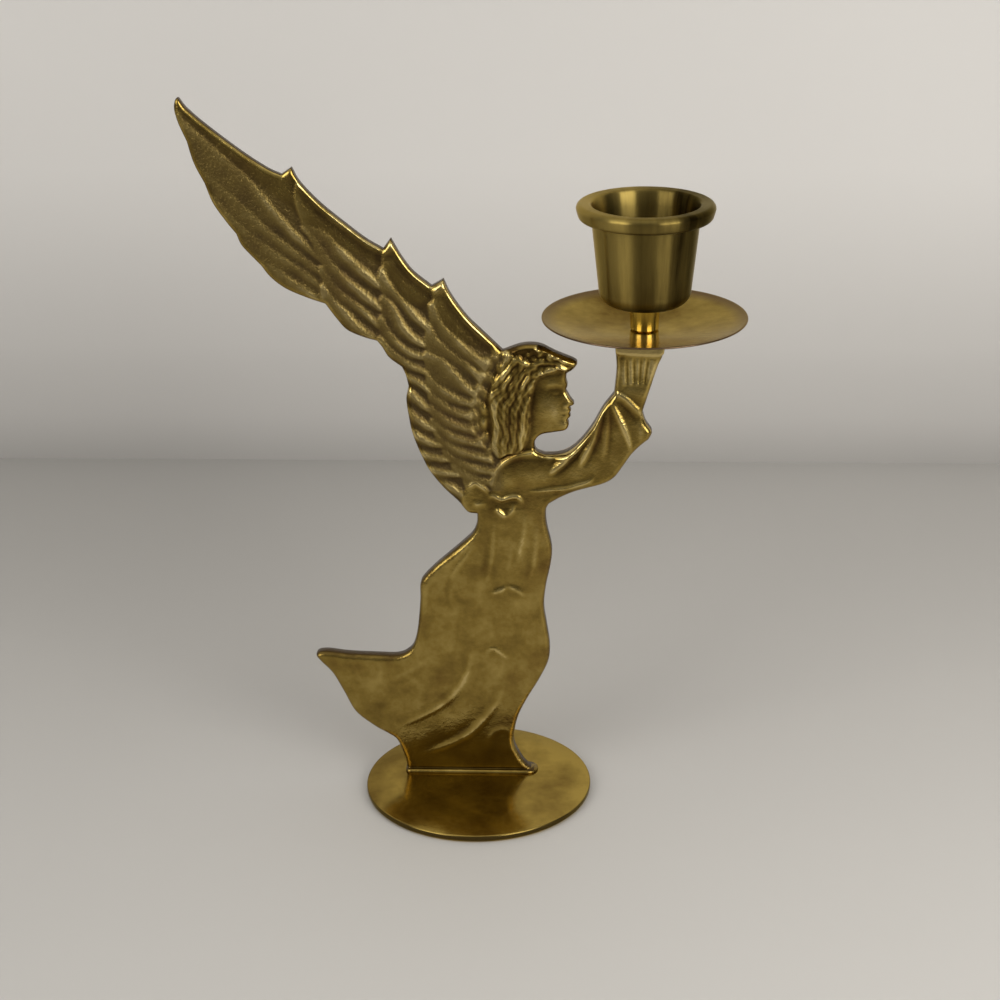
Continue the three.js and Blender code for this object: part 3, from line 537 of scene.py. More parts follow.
# Head: a plain face of calm proportions, loose hair and a leafy band round the brow
HAIR = [(7.6, 107.9), (7.1, 105.6), (6, 102.5), (4.3, 99.3), (3.9, 96.4), (4.7, 90.4), (4.2, 85.5),
        (5.6, 82.1), (7.8, 82.9), (10.8, 83.7), (12.3, 86.2), (12.9, 88.7), (13.2, 91.1), (13.1, 94.5),
        (13.7, 98.4), (14.8, 101.6), (17, 102.7), (19.6, 103.6), (21.4, 103.4), (22.4, 105.4), (15, 107.6)]
BAND = [(7.9, 108.6), (9.2, 107), (11.4, 105.7), (13.2, 105.2), (16.6, 105.4), (20, 105.1), (22.6, 104.1),
        (24.6, 104.2), (24.4, 106.4), (19, 109), (13, 111), (8.5, 110)]
HAIR_FRONT = [(17.8, 105.2), (15.2, 103.4), (13.9, 100.6), (13.1, 97), (13.1, 93.2), (12.9, 89.2),
              (11.9, 85.6), (10.8, 83.4), (9.8, 81)]
HAIR_BACK = [(7.4, 107), (6.6, 104.6), (5.2, 101.6), (3.9, 98.8), (3.5, 96), (4.2, 92), (4.3, 88.6),
             (3.9, 85.6), (5.2, 82.4), (5.4, 80)]
dome((17.2, 94.4), (4.6, 5.4), 0.5)
dome((18.4, 101.2), (4.2, 2.6), 0.3)
dome((21.1, 90.2), (1.7, 1.5), 0.2)
dome((19, 98.3), (2, 1.25), -0.22)
dome((18.9, 98.15), (1.5, 0.8), 0.26)
dome((21.4, 95), (0.9, 0.75), 0.26)
ridge([(16.7, 99.8), (18.6, 100.4), (20.5, 99.7)], 0.14, 0.5)
ridge([(21.1, 99), (21.7, 97), (22.3, 95.5)], 0.22, 0.6)
ridge([(22.4, 93.5), (21.4, 93.45), (20.6, 93.1)], 0.12, 0.32)
ridge([(22.3, 92.3), (21.4, 92.3), (20.7, 92.7)], 0.14, 0.32)
groove([(17.6, 98.0), (18.7, 97.55), (20.1, 98.0)], 0.16, 0.2)
groove([(22.6, 92.9), (21.4, 92.88), (20.2, 93.15)], 0.2, 0.2)
groove([(20.5, 95.7), (20.4, 94.9), (20.9, 94.3)], 0.12, 0.2)
groove([(14, 88.6), (15.6, 88.0), (18, 88.5)], 0.12, 0.5)

to_front = np.abs(spread(trace(HAIR_FRONT)))
to_back = np.abs(spread(trace(HAIR_BACK)))
sweep = to_back / (to_back + to_front + 1e-6)
swept_back = 0.75 * smooth(93, 107, map_z)
wave = 0.22 * np.sin(map_z * 0.55 + 3 * sweep) + 0.1 * np.sin(map_z * 1.3 + 9 * sweep)
lock = np.abs(np.sin(np.pi * (4 * (sweep - swept_back) + 0.7 * wave)))
strand = np.abs(np.sin(np.pi * (10 * (sweep - swept_back) + wave)))
hair = 1.78 + 0.2 * np.clip(4 * sweep * (1 - sweep), 0, 1) + 0.26 * lock ** 0.7 + 0.36 * strand ** 0.7
hair += 0.07 * np.sin(map_z * 2.1 + 40 * sweep)
plateau(HAIR, hair)
for line in ([(12.6, 104.6), (11, 101.6), (9.4, 98.6), (8.4, 96.6)],
             [(11.6, 104.6), (10, 101.8), (8.2, 98.8)],
             [(13.6, 104.4), (12.4, 101.6), (11.2, 98.6), (10.2, 96)],
             [(10.6, 104.8), (8.7, 102.2), (7.2, 99.2), (6.4, 96.6)],
             [(9.4, 105.4), (7.8, 103.2), (6.2, 100)],
             [(12.4, 97.4), (11.6, 93), (11.4, 89.4), (10.6, 86)]):
    ridge(line, 0.3, 0.34, 0.7)
    groove([(x + 0.62, z - 0.1) for x, z in line], 0.2, 0.24, 0.6)

plateau(BAND, 1.95)
ridge([(9.2, 107.6), (11.2, 108.5), (13.4, 108.8), (16, 108.4), (19, 106.9), (22.4, 105.5)], 0.34, 0.6, 0.3)
ridge([(8.9, 107.1), (11.4, 105.7), (13.2, 105.3), (16.6, 105.5), (20, 105.3), (23.2, 104.9)], 0.3, 0.32, 0.3)
for place, length, turn in (
        ((10.8, 106.6), 1.2, -40), ((12.2, 105.9), 1.2, 25), ((12.9, 107.4), 1.1, 60),
        ((14.2, 106.2), 1.2, -20), ((15.5, 107.3), 1.1, 50), ((15.9, 106.1), 1, 10),
        ((17.6, 106.3), 1.1, -30), ((19.2, 106.6), 1, 20), ((20.6, 105.9), 1, -25),
        ((14.9, 108.4), 0.9, -60), ((18, 107.3), 0.9, 40)):
    dome(place, (length, 0.5), 0.5, turn)
groove([(13.6, 104.7), (16.6, 104.8), (20.2, 104.5), (22.4, 103.9)], 0.3, 0.3, 0.3)
ridge([(14.6, 103.9), (16.6, 104), (19.6, 103.9), (21.6, 103.2)], 0.2, 0.4, 0.3)
ridge([(15.2, 102.7), (17.4, 103.2), (20, 103)], 0.16, 0.3, 0.3)

# Sleeve and hand
SLEEVE = [(3.9, 75), (4.4, 77.6), (5.8, 80.3), (7.9, 82.2), (10.8, 83.4), (13.8, 84), (16, 85), (24, 88),
          (28, 100), (32.8, 98.4), (33.6, 97.8), (35, 96.6), (36.8, 94.7), (38.9, 92.7), (43, 91), (46, 86),
          (34, 68), (18.2, 69.6), (16.8, 72.6), (13, 73.2), (9, 73), (5.2, 73.2)]
HAND = [(30.6, 95.6), (29.5, 99), (30, 113), (47, 113), (44, 92), (39.4, 92.3), (36.8, 94.7), (35, 96.6),
        (33, 98)]
plateau(HAND, 1.95)
dome((38, 98), (5, 3.2), 0.2)
for top, bottom in ((35.1, 35.3), (36.75, 36.9), (38.35, 38), (39.95, 39.2)):
    groove([(top, 106.4), ((top + bottom) / 2, 103.6), (bottom, 100.2)], 0.55, 0.34, 0.35)
for top, bottom in ((34.4, 34.6), (35.95, 36.1), (37.55, 37.4), (39.15, 38.6), (40.7, 39.9)):
    ridge([(top, 106.6), ((top + bottom) / 2, 103.6), (bottom, 100)], 0.16, 0.6, 0.3)
groove([(33.9, 109), (34.0, 104), (33.5, 99.6)], 0.2, 0.3, 0.3)
groove([(33.4, 98.9), (36, 99.8), (39.8, 99.2)], 0.1, 0.5, 0.3)
dome((31.7, 97.3), (1.5, 1.0), 0.4, 60)
plateau([(31.6, 107.4), (31.4, 113), (46, 113), (44.6, 107.4)], 2.45, 0.9)
dome((43, 109.4), (2.2, 1.6), -0.12)

sleeve_in = signed(trace(SLEEVE + SLEEVE[:1], 0.4)[:-1])
sleeve = 2.12 + 0.12 * smooth(0, 5, sleeve_in)
on_sleeve = smooth(-0.15, 0.15, sleeve_in)
relief = relief * (1 - on_sleeve) + sleeve * on_sleeve
ridge([(3.9, 74.6), (4.5, 77.6), (5.9, 80.1), (8, 81.9), (10.8, 83), (14, 83.6)], 0.4, 0.36, 0.3)
groove([(5.2, 76), (6.2, 79), (8.3, 80.9), (11, 81.9), (15, 82), (20, 81.6), (23, 82.4)], 0.16, 0.7, 0.3)
dome((12.6, 77.6), (7, 3), 0.12)
for place in ((16, 83), (17.8, 82.3), (19.7, 82.4), (21.5, 82.9), (23.2, 84.1)):
    dome(place, (1.1, 0.75), 0.22, 20)
ridge([(17.6, 78.4), (20, 80.4), (22.3, 82.9), (24.6, 85.9), (26.8, 89.1), (28.6, 92.4), (30.2, 95.4),
       (31, 97.2)], 0.85, 1.1, 0.45, -0.45)
groove([(18.4, 78.2), (20.9, 79.9), (23.2, 82.3), (25.4, 85), (27.4, 88), (29, 91.2), (30.4, 94.4)],
       0.24, 0.5)
ridge([(24.5, 80.4), (25.9, 83.4), (27.4, 86.6), (28.4, 89.8), (29.4, 93.2), (30.4, 95.8)],
      0.6, 0.7, 0.5, -0.4)
groove([(25.6, 80.2), (27.1, 83), (28.5, 86.4), (29.4, 89.6)], 0.22, 0.4)
ridge([(30.7, 96.2), (30.5, 91.7), (30.2, 86.4), (29.6, 82)], 0.22, 0.5, 0.8)
groove([(31.4, 95), (31.6, 90.7), (31.4, 86), (30.8, 82)], 0.16, 0.4, 0.6)
ridge([(31.6, 96), (33.5, 91.9), (35.3, 87.6), (36.2, 83.9)], 0.5, 0.6, 0.7, -0.4)
groove([(32.8, 95.2), (34.8, 91), (36.3, 87), (36.9, 84)], 0.16, 0.45, 0.6)
ridge([(37.6, 92.4), (38.4, 89.4), (38.4, 86.4)], 0.16, 0.5, 0.6)
ridge([(32.9, 98.3), (34.9, 96.9), (36.8, 95), (38.9, 92.9), (40.4, 90.6)], 0.42, 0.5, 0.3)
groove([(32.6, 96.4), (34.2, 95.2), (36, 93.3), (37.6, 91.4)], 0.26, 0.7, 0.4)
ridge([(12.4, 74.1), (15.2, 74.1), (18.7, 74.5), (21, 74.7), (23.8, 75.5), (26.8, 76.6), (28, 78.2)],
      0.42, 0.4, 0.5, -0.3)
groove([(14, 73.4), (17, 73.3), (20.4, 73.9), (23.6, 74.7), (26.4, 75.8)], 0.08, 0.4, 0.4)

# Skirt
SKIRT = [(-45, -3), (-45, 40), (-10, 62), (0.7, 67.6), (3, 69.2), (7, 69.4), (12, 69.6), (17, 69.6), (24, 66),
         (24, -3)]
skirt_in = signed(np.array(SKIRT, float))
skirt = 1.9 + 0.1 * smooth(0, 9, to_edge) + 0.16 * smooth(58, 69, map_z)
on_skirt = smooth(-0.2, 0.2, skirt_in)
relief = relief * (1 - on_skirt) + skirt * on_skirt
for line, depth, width in (
        ([(-2.6, 33), (-3.2, 29), (-4.7, 24.8), (-7.1, 21.6), (-10.5, 18.6), (-15.2, 15.8), (-20, 13.2)],
         0.13, 1.5),
        ([(5.2, 24), (3.4, 19.8), (0.9, 16), (-2.8, 12.2), (-7, 9.4), (-11.4, 7.4), (-15, 5.8)], 0.1, 1.4),
        ([(-4.6, 56), (-6.2, 52), (-6.9, 47.6), (-6.2, 43.4)], 0.12, 0.6),
        ([(-11.6, 42), (-9.3, 41.2), (-7.7, 39.8), (-6.8, 38)], 0.12, 0.3),
        ([(13.2, 66), (12.9, 61), (12.1, 56)], 0.07, 0.35),
        ([(3.2, 65.6), (2.8, 60.4), (1.9, 55)], 0.07, 0.35),
        ([(-3.6, 50.6), (-4.8, 47.6), (-3.8, 46.2), (-1.4, 45.7), (1.2, 45.8)], 0.1, 0.3),
        ([(-12.2, 28.4), (-16, 25.4), (-20, 23.4)], 0.07, 0.5)):
    groove(line, depth, width)
for line, rise, width in (
        ([(-1, 33), (-1.7, 29), (-3.2, 24.8), (-5.6, 21.1), (-9.2, 17.8), (-14.2, 14.8), (-20, 11.8)],
         0.24, 0.62),
        ([(6.6, 23.6), (4.9, 19.2), (2.4, 15.5), (-1.5, 11), (-5.9, 8.1), (-10.4, 6.1), (-15, 4.3)],
         0.26, 0.62),
        ([(8, 9.4), (6.9, 11.6), (4.4, 11.3), (2.8, 9.2), (2.1, 5.6)], 0.14, 0.5),
        ([(11.7, 69), (11.6, 64.5), (10.8, 60), (9.8, 55)], 0.2, 0.34),
        ([(14.6, 66), (14.3, 60.5), (13.8, 55.4), (12.4, 50.6)], 0.22, 0.34),
        ([(4.6, 66.4), (4.3, 61), (3.5, 54.6), (2.4, 50)], 0.2, 0.34),
        ([(2.2, 65.6), (-0.4, 62), (-3.8, 58), (-7.2, 54.6)], 0.22, 0.36),
        ([(1, 62), (-2.2, 57.4), (-4.8, 53.8), (-6.4, 51)], 0.18, 0.32),
        ([(8.8, 61.6), (8.3, 57.6), (7.6, 54)], 0.1, 0.3),
        ([(-11, 53), (-11.9, 48.7), (-12.2, 43.8), (-12.6, 39)], 0.12, 0.35),
        ([(-10.6, 31.6), (-14.6, 28.4), (-18.4, 26), (-22.6, 24.6)], 0.1, 0.5),
        ([(-30.4, 30), (-28.9, 26.8), (-28, 23.6)], 0.1, 0.4),
        ([(-23.6, 30.2), (-23.2, 27), (-23.6, 23.8)], 0.09, 0.4)):
    ridge(line, rise, width, 0.7)

# Hearts on the skirt, the belt's bow and the heart that hangs from it
for line, rise in (
        ([(3.6, 47.7), (4.8, 48.3), (6.2, 48.9), (7.4, 49.8)], 0.42),
        ([(7.4, 49.8), (9.1, 49.2), (10.5, 48.2), (11.6, 47.2)], 0.38),
        ([(2, 32), (2.7, 32.9), (4.1, 33.4), (5.6, 32.4), (7.6, 30.6)], 0.28),
        ([(-9.9, 41.4), (-8.6, 40.8), (-7.3, 39.4)], 0.2)):
    ridge(line, rise, 0.38, 0.5)
for line, rise in (
        ([(-0.9, 75), (-0.3, 75.9), (0.5, 76)], 0.3),
        ([(0.5, 76), (1.7, 75.2), (3.3, 73.7)], 0.44),
        ([(3.6, 72.2), (4.4, 72.8), (5.8, 72), (6.4, 71.7), (7.9, 72.3), (9.5, 72.6), (10.4, 72.3),
          (11.3, 71.2)], 0.42),
        ([(0.1, 71.6), (0.5, 70.5), (1.7, 70.8), (2.6, 70.6)], 0.2),
        ([(5, 69.6), (6.1, 68.4), (7.2, 67.4)], 0.46),
        ([(7.2, 67.4), (8.4, 68.4), (9.1, 69.9), (9.3, 70.9)], 0.2)):
    ridge(line, 1.2 * rise, 0.45, 0.3, -0.3)
for line in ([(0.2, 75.1), (1.4, 74.4), (2.9, 73)],
             [(4.2, 71.9), (5.9, 71.2), (7.8, 71.4), (9.6, 71.6), (10.6, 71.2)]):
    groove(line, 0.14, 0.4, 0.4)


def soften(values, reach):
    """The map, blurred over about reach mm."""
    size = max(1, int(round(reach / PIXEL)))
    kernel = np.exp(-0.5 * (np.arange(-3 * size, 3 * size + 1) / size) ** 2)
    kernel /= kernel.sum()
    for axis in (0, 1):
        values = np.apply_along_axis(
            lambda v: np.convolve(np.pad(v, 3 * size, mode="edge"), kernel, "valid"), axis, values)
    return values


# The sand mould leaves every form a little soft, and those of the wing the most
wing = 1 - np.maximum(body, on_skirt)
relief = soften(relief, 0.2) * (1 - 0.5 * wing) + soften(relief, 0.4) * 0.5 * wing

# How far each place lies below what is round it: tarnish gathers there, and the hair holds the most of it.
# On the wing a broader share also makes the raised parts paler and the broad hollows darker, a painted
# highlight and shade.
tarnish_and_painted_light = 0.9 * (soften(relief, 1.4) - relief) + 0.2 * wing * (soften(relief, 3.0) - relief)
blades = soften(blades, 0.5) * wing
# The hand is made a little paler.
on_hand = (map_x > 28) * smooth(96, 99, map_z)
tarnish_and_painted_light += 0.03 * blades - 0.1 * on_hand * (1 - on_skirt)
in_hair = smooth(-0.1, 0.2, np.maximum(signed(np.array(HAIR, float)), signed(np.array(BAND, float))))
tarnish_and_painted_light += in_hair * (0.8 * tarnish_and_painted_light + 0.12)
# Painted shade: the crown of the head is made darker.
crown_painted_shade = smooth(107, 108.4, map_z) * (map_x > 8) * (map_x < 25)
tarnish_and_painted_light += 0.3 * crown_painted_shade
# Painted highlight and shade along the contour: edges that face up are made paler on the wing and the body
# and darker on the skirt. The wing as a whole is made a little darker.
facing_up = np.clip(-np.gradient(to_edge, PIXEL, axis=0), 0, 1)
tarnish_and_painted_light += 0.03 * wing - (0.2 - 0.34 * on_skirt) * facing_up * (1 - smooth(0.2, 1.0, to_edge))

# How sandy the surface is: the wing is as cast, and the head, the sleeve and the skirt are polished. The
# uppermost feathers are smoother than the others.
polished = smooth(1, 3, spread(longer(SHOULDER_DOWN, 30), 120)) * smooth(68, 70, map_z)
sandy = 1 - np.maximum(0.85 * on_skirt, 0.72 * np.maximum(polished, waist))
sandy += (0.5 * on_skirt - sandy) * (1 - smooth(0.3, 1.3, to_edge))
sandy -= 0.3 * blades * sandy


def at_points(values, points):
    """The map's values at points between its pixels."""
    u = np.clip((points[:, 0] - columns[0]) / PIXEL, 0, len(columns) - 2)
    v = np.clip((points[:, 1] - rows[0]) / PIXEL, 0, len(rows) - 2)
    i, j = v.astype(int), u.astype(int)
    fv, fu = v - i, u - j
    top = values[i, j] * (1 - fu) + values[i, j + 1] * fu
    return top * (1 - fv) + (values[i + 1, j] * (1 - fu) + values[i + 1, j + 1] * fu) * fv


# How coarse the triangles are in each part of the plate, with the part's lower left and upper right corners:
# they are finest on the head and the hand, and coarsest on the skirt
GRID_PARTS = [(1.0, (-2, 68), (47, 113)), (1.12, (-67, 68), (-2, 168)), (1.12, (-2, 113), (47, 168)),
              (2.1, (-67, -1), (47, 68))]


def scatter(fine, offsets):
    """Points inside the contour: rings along it, then a triangular grid."""
    points = []
    after, before = np.roll(contour, -1, axis=0), np.roll(contour, 1, axis=0)
    along = after - before
    inward = np.column_stack([along[:, 1], -along[:, 0]]) / np.linalg.norm(along, axis=1)[:, None]
    tried = contour[40:41] + 0.5 * inward[40:41]
    if at_points(to_edge, tried)[0] < 0:
        inward = -inward
    for offset in offsets:
        ring = contour + inward * offset
        ring = ring[at_points(to_edge, ring) > 0.86 * offset]
        kept = [ring[0]]
        for point in ring[1:]:
            if np.hypot(*(point - kept[-1])) > 0.55 * min(0.35, offset + 0.1):
                kept.append(point)
        points.append(np.array(kept))
    for coarser, low, high in GRID_PARTS:
        gap = fine * coarser
        level = np.arange(low[1], high[1], gap * 0.866)
        x, z = np.meshgrid(np.arange(low[0], high[0], gap), level)
        x = x + (np.arange(len(level)) % 2)[:, None] * gap / 2
        grid = np.column_stack([x.ravel(), z.ravel()])
        points.append(grid[at_points(to_edge, grid) > offsets[-1] + 0.5 * gap])
    return np.vstack(points)


def face_mesh(fine, offsets):
    """Flat triangles over the contour: points, the first of them the contour's own, and triangles."""
    inner = scatter(fine, offsets)
    every = np.vstack([contour, inner])
    found = geometry.delaunay_2d_cdt([Vector(p) for p in every], [], [list(range(len(contour)))], 1, 1e-7)
    points = np.array([tuple(p) for p in found[0]])
    triangles = np.array(found[2])
    a, b, c = (points[triangles[:, i]] for i in range(3))
    turn = (b[:, 0] - a[:, 0]) * (c[:, 1] - a[:, 1]) - (b[:, 1] - a[:, 1]) * (c[:, 0] - a[:, 0])
    triangles[turn < 0] = triangles[turn < 0][:, ::-1]
    return points, triangles


def edge_half(points):
    """Half of the thickness at the contour: wider at the seat under the cup."""
    x, z = points[:, 0], points[:, 1]
    return EDGE + (SEAT_EDGE - EDGE) * smooth(106.8, 107.8, z) * smooth(28, 30, x) * (z < 114)


def half_thickness(points):
    """Half of the figure's thickness, rounded towards the contour."""
    inside = np.clip(at_points(to_edge, points), 0, None)
    bend = np.sqrt(np.clip(1 - (1 - np.clip(inside / ROUNDING, 0, 1)) ** 2, 0, 1))
    edge = edge_half(points)
    return edge + (np.maximum(at_points(relief, points), edge) - edge) * bend


def outwards(shape):
    """Turns a closed shape's faces outwards and shades them smooth."""
    bmesh.ops.recalc_face_normals(shape, faces=shape.faces)
    for face in shape.faces:
        face.smooth = True


# The back is coarser than the front, to keep the piece light
front, front_faces = face_mesh(0.27, (0.1, 0.28, 0.55, 0.9))
rear, rear_faces = face_mesh(0.44, (0.14, 0.45, 0.9))
on_contour = len(contour)
half_front, half_rear = half_thickness(front), half_thickness(rear)
half_front[:on_contour] = half_rear[:on_contour] = edge_half(contour)
vertices = np.vstack([
    np.column_stack([front[:, 0], MIDDLE - half_front, front[:, 1] + FOOT]),
    np.column_stack([rear[:, 0], MIDDLE + half_rear, rear[:, 1] + FOOT])]) / 1000
first = len(front)
loop = np.arange(on_contour)
following = np.roll(loop, -1)
walls = np.vstack([
    np.column_stack([loop, following, following + first]),
    np.column_stack([loop, following + first, loop + first])])
faces = np.vstack([front_faces, rear_faces[:, ::-1] + first, walls])
mesh = bpy.data.meshes.new("angel_figure_casting")
mesh.from_pydata(vertices.tolist(), [], faces.tolist())
shaped = bmesh.new()
shaped.from_mesh(mesh)
outwards(shaped)
shaped.to_mesh(mesh)
shaped.free()

# The narrow edge between the faces is made darker and sandier, a little less so round the skirt
low_down = 1 - smooth(55, 68, contour[:, 1])
for name, values, at_edge in (("tarnish_and_painted_light", tarnish_and_painted_light, 0.5 - 0.1 * low_down),
                              ("sandy", sandy, 0.9 - 0.5 * low_down)):
    layer = mesh.attributes.new(name, "FLOAT", "POINT")
    sides = [at_points(values, front), at_points(values, rear)]
    for side in sides:
        side[:on_contour] = at_edge
    layer.data.foreach_set("value", np.concatenate(sides))
figure = bpy.data.objects.new("angel_figure_casting", mesh)
bpy.context.scene.collection.objects.link(figure)


def arc(centre, radius, start, end, steps=8):
    """Points on a round corner, between angles in degrees."""
    turns = np.radians(np.linspace(start, end, steps + 1))
    return [(centre[0] + radius * math.cos(t), centre[1] + radius * math.sin(t)) for t in turns]


def moved(piece, x, y, z):
    """Moves a piece's mesh by millimetres, so that the object itself stays at the origin."""
    piece.data.transform(Matrix.Translation((x / 1000, y / 1000, z / 1000)))
    return piece


def combine(piece, other, operation):
    """Joins another closed piece to a piece, or cuts it out of it. The other one is used up."""
    modifier = piece.modifiers.new("combine", "BOOLEAN")
    modifier.operation = operation
    modifier.solver = "EXACT"
    modifier.object = other
    bpy.context.view_layer.update()
    result = bpy.data.meshes.new_from_object(piece.evaluated_get(bpy.context.evaluated_depsgraph_get()))
    piece.modifiers.clear()
    piece.data = result
    bpy.data.objects.remove(other)


SHARP = math.radians(35)  # an edge that turns more than this is left sharp


def turning(name, profile, sides):
    """A turned piece about Z from a closed profile of (radius, height) points in mm."""
    shape = bmesh.new()
    points = [shape.verts.new((radius / 1000, 0, height / 1000)) for radius, height in profile]
    edges = [shape.edges.new(pair) for pair in zip(points, points[1:] + points[:1])
             if pair[0].co.x > 1e-9 or pair[1].co.x > 1e-9]
    bmesh.ops.spin(shape, geom=points + edges, axis=(0, 0, 1), cent=(0, 0, 0), steps=sides,
                   angle=2 * math.pi, use_merge=True)
    bmesh.ops.remove_doubles(shape, verts=shape.verts, dist=2e-7)
    bmesh.ops.dissolve_degenerate(shape, dist=1e-7, edges=shape.edges)
    outwards(shape)
    for edge in shape.edges:
        if len(edge.link_faces) == 2 and edge.calc_face_angle(0) > SHARP:
            edge.smooth = False
    return made(name, shape)


def drill(piece, profile, place, sides=24):
    """Cuts a hole, given as a turned profile, out of a piece at a place in mm."""
    combine(piece, moved(turning("hole", profile, sides), *place), "DIFFERENCE")


# The low bead that the figure stands on, square at its left end and round at its toe
BEAD_LEFT, BEAD_RIGHT, BEAD_HALF, BEAD_HEIGHT = -17.9, 14.4, 2.8, 0.8
BEAD_CORNER = 1.2  # radius of the two corners at its left end, in mm
BEAD_ROUND = 0.6  # of its upper edge, in mm
corner_x, corner_y = BEAD_LEFT + BEAD_CORNER, BEAD_HALF - BEAD_CORNER
plan = arc((BEAD_RIGHT - BEAD_HALF, 0), BEAD_HALF, -90, 90, 18)
plan += arc((corner_x, corner_y), BEAD_CORNER, 90, 180, 6)
plan += arc((corner_x, -corner_y), BEAD_CORNER, 180, 270, 6)
shape = bmesh.new()
sole = shape.faces.new([shape.verts.new((x / 1000, (y + MIDDLE) / 1000, FOOT / 1000)) for x, y in plan])
raised = bmesh.ops.extrude_face_region(shape, geom=[sole])["geom"]
top = [part for part in raised if isinstance(part, bmesh.types.BMVert)]
bmesh.ops.translate(shape, verts=top, vec=(0, 0, BEAD_HEIGHT / 1000))
upper_edges = [edge for edge in shape.edges if all(vert in top for vert in edge.verts)]
bmesh.ops.bevel(shape, geom=upper_edges, offset=BEAD_ROUND / 1000, offset_type="OFFSET", segments=3,
                profile=0.5, affect="EDGES", material=-1)
outwards(shape)
combine(figure, made("foot_bead", shape), "UNION")

# The tapped holes: one in the seat for the cup's screw and two in the foot
AXIS = 39.0  # of the cup, on X, in mm
SEAT = 115.0  # height of the seat on the hand, in mm
SCREW_PLACES = (-9.2, 5.8)  # of the two screws in the foot, on X
CUP_BORE = 1.75  # radius of the hole for the cup's screw, in mm
FOOT_BORE = 1.5  # radius of the holes for the screws in the foot, in mm
drill(figure, [(0, -10.1), (CUP_BORE, -10.1), (CUP_BORE, 1), (0, 1)], (AXIS, MIDDLE, SEAT))
for x in SCREW_PLACES:
    drill(figure, [(0, -1), (FOOT_BORE, -1), (FOOT_BORE, 7.1), (0, 7.1)], (x, MIDDLE, FOOT))

# The bead is rubbed clean and made less grey, partly wear and partly a painted highlight for the light line
# along it: everything as low as its top that stands out from the foot
mesh = figure.data
spots = np.array([vert.co for vert in mesh.vertices]) * 1000
on_bead = (np.abs(spots[:, 1] - MIDDLE) > 2.2) | (spots[:, 0] < -17.6) | (spots[:, 0] > 13.3)
on_bead &= spots[:, 2] < FOOT + BEAD_HEIGHT + 0.01
for name, value in (("tarnish_and_painted_light", 0.0), ("sandy", 0.3)):
    values = np.empty(len(spots))
    mesh.attributes[name].data.foreach_get("value", values)
    mesh.attributes[name].data.foreach_set("value", np.where(on_bead, value, values))

# Sand-cast brass, an alloy of copper and zinc: olive gold, with brown tarnish in the hollows and rubbed
# bright on the ridges, and with the painted highlight and shade that its attribute carries. The wing and the
# hair keep the sparkle of the sand grain, and the sleeve and the skirt are polished, with soft waves left by
# hand.
TARNISH_CLOUDS = 150.0  # for each metre, so about 7 mm across
RED_STAINS = 38.0  # about 26 mm across
SAND_GRAIN = 1500.0  # about 0.7 mm, coarser than the real grain of 0.3 mm, so that it shows
HAND_WAVES = 260.0  # about 4 mm

brass, tree, shader = new_material("sand_cast_brass")
place = add_node(tree, "ShaderNodeTexCoord")
spot = place.outputs["Object"]
clouds, stains, grain, waves = (
    add_node(tree, "ShaderNodeTexNoise", {
        "Vector": spot, "Scale": scale, "Detail": detail, "Roughness": rough})
    for scale, detail, rough in (
        (TARNISH_CLOUDS, 5.0, 0.65), (RED_STAINS, 4.0, 0.7), (SAND_GRAIN, 3.0, 0.6), (HAND_WAVES, 3.0, 0.5)))
# The attribute carries tarnish and the painted highlight and shade added to it.
tarnish_and_light_layer = add_node(tree, "ShaderNodeAttribute", attribute_name="tarnish_and_painted_light")
cast = add_node(tree, "ShaderNodeAttribute", attribute_name="sandy")
tarnish_and_light_share = add_node(tree, "ShaderNodeMapRange", {
    "Value": tarnish_and_light_layer.outputs["Fac"], "From Min": -0.16, "From Max": 0.3})
mottled = add_node(tree, "ShaderNodeMath", {0: clouds.outputs["Fac"], 1: -0.5}, operation="ADD")
uneven = add_node(tree, "ShaderNodeMath", {
    0: mottled.outputs["Value"], 1: 1.1, 2: tarnish_and_light_share.outputs["Result"]}, operation="MULTIPLY_ADD")
tone = add_node(tree, "ShaderNodeValToRGB", {"Fac": uneven.outputs["Value"]})
set_stops(tone.color_ramp, [(stop, linear(colour)) for stop, colour in (
    (0.0, "#c4ae70"), (0.12, "#aa9352"), (0.36, "#8f783b"), (0.6, "#705b2b"), (0.85, "#4a3819"))])
reddish = add_node(tree, "ShaderNodeMapRange", {
    "Value": stains.outputs["Fac"], "From Min": 0.52, "From Max": 0.72, "To Max": 0.35})
stained = add_node(tree, "ShaderNodeMix", {
    "Factor": reddish.outputs["Result"], "A": tone.outputs["Color"], "B": linear("#7c5a30")},
    data_type="RGBA")
greyed = add_node(tree, "ShaderNodeMapRange", {
    "Value": cast.outputs["Fac"], "From Min": 0.3, "From Max": 1.0, "To Max": 0.52})
oxidised = add_node(tree, "ShaderNodeMix", {
    "Factor": greyed.outputs["Result"], "A": stained.outputs["Result"], "B": linear("#5a4d34")},
    data_type="RGBA")
tree.links.new(oxidised.outputs["Result"], shader.inputs["Base Color"])
shader.inputs["Metallic"].default_value = 1
dull = add_node(tree, "ShaderNodeMapRange", {
    "Value": cast.outputs["Fac"], "From Min": 0.1, "From Max": 1.0, "To Min": 0.17, "To Max": 0.35})
worn = add_node(tree, "ShaderNodeMath", {
    0: mottled.outputs["Value"], 1: 0.22, 2: dull.outputs["Result"]}, operation="MULTIPLY_ADD")
tree.links.new(worn.outputs["Value"], shader.inputs["Roughness"])
soft_waves = add_node(tree, "ShaderNodeBump", {
    "Height": waves.outputs["Fac"], "Strength": 0.35, "Distance": 0.0003})
grain_strength = add_node(tree, "ShaderNodeMapRange", {
    "Value": cast.outputs["Fac"], "From Min": 0.1, "From Max": 1.0, "To Min": 0.08, "To Max": 0.75})
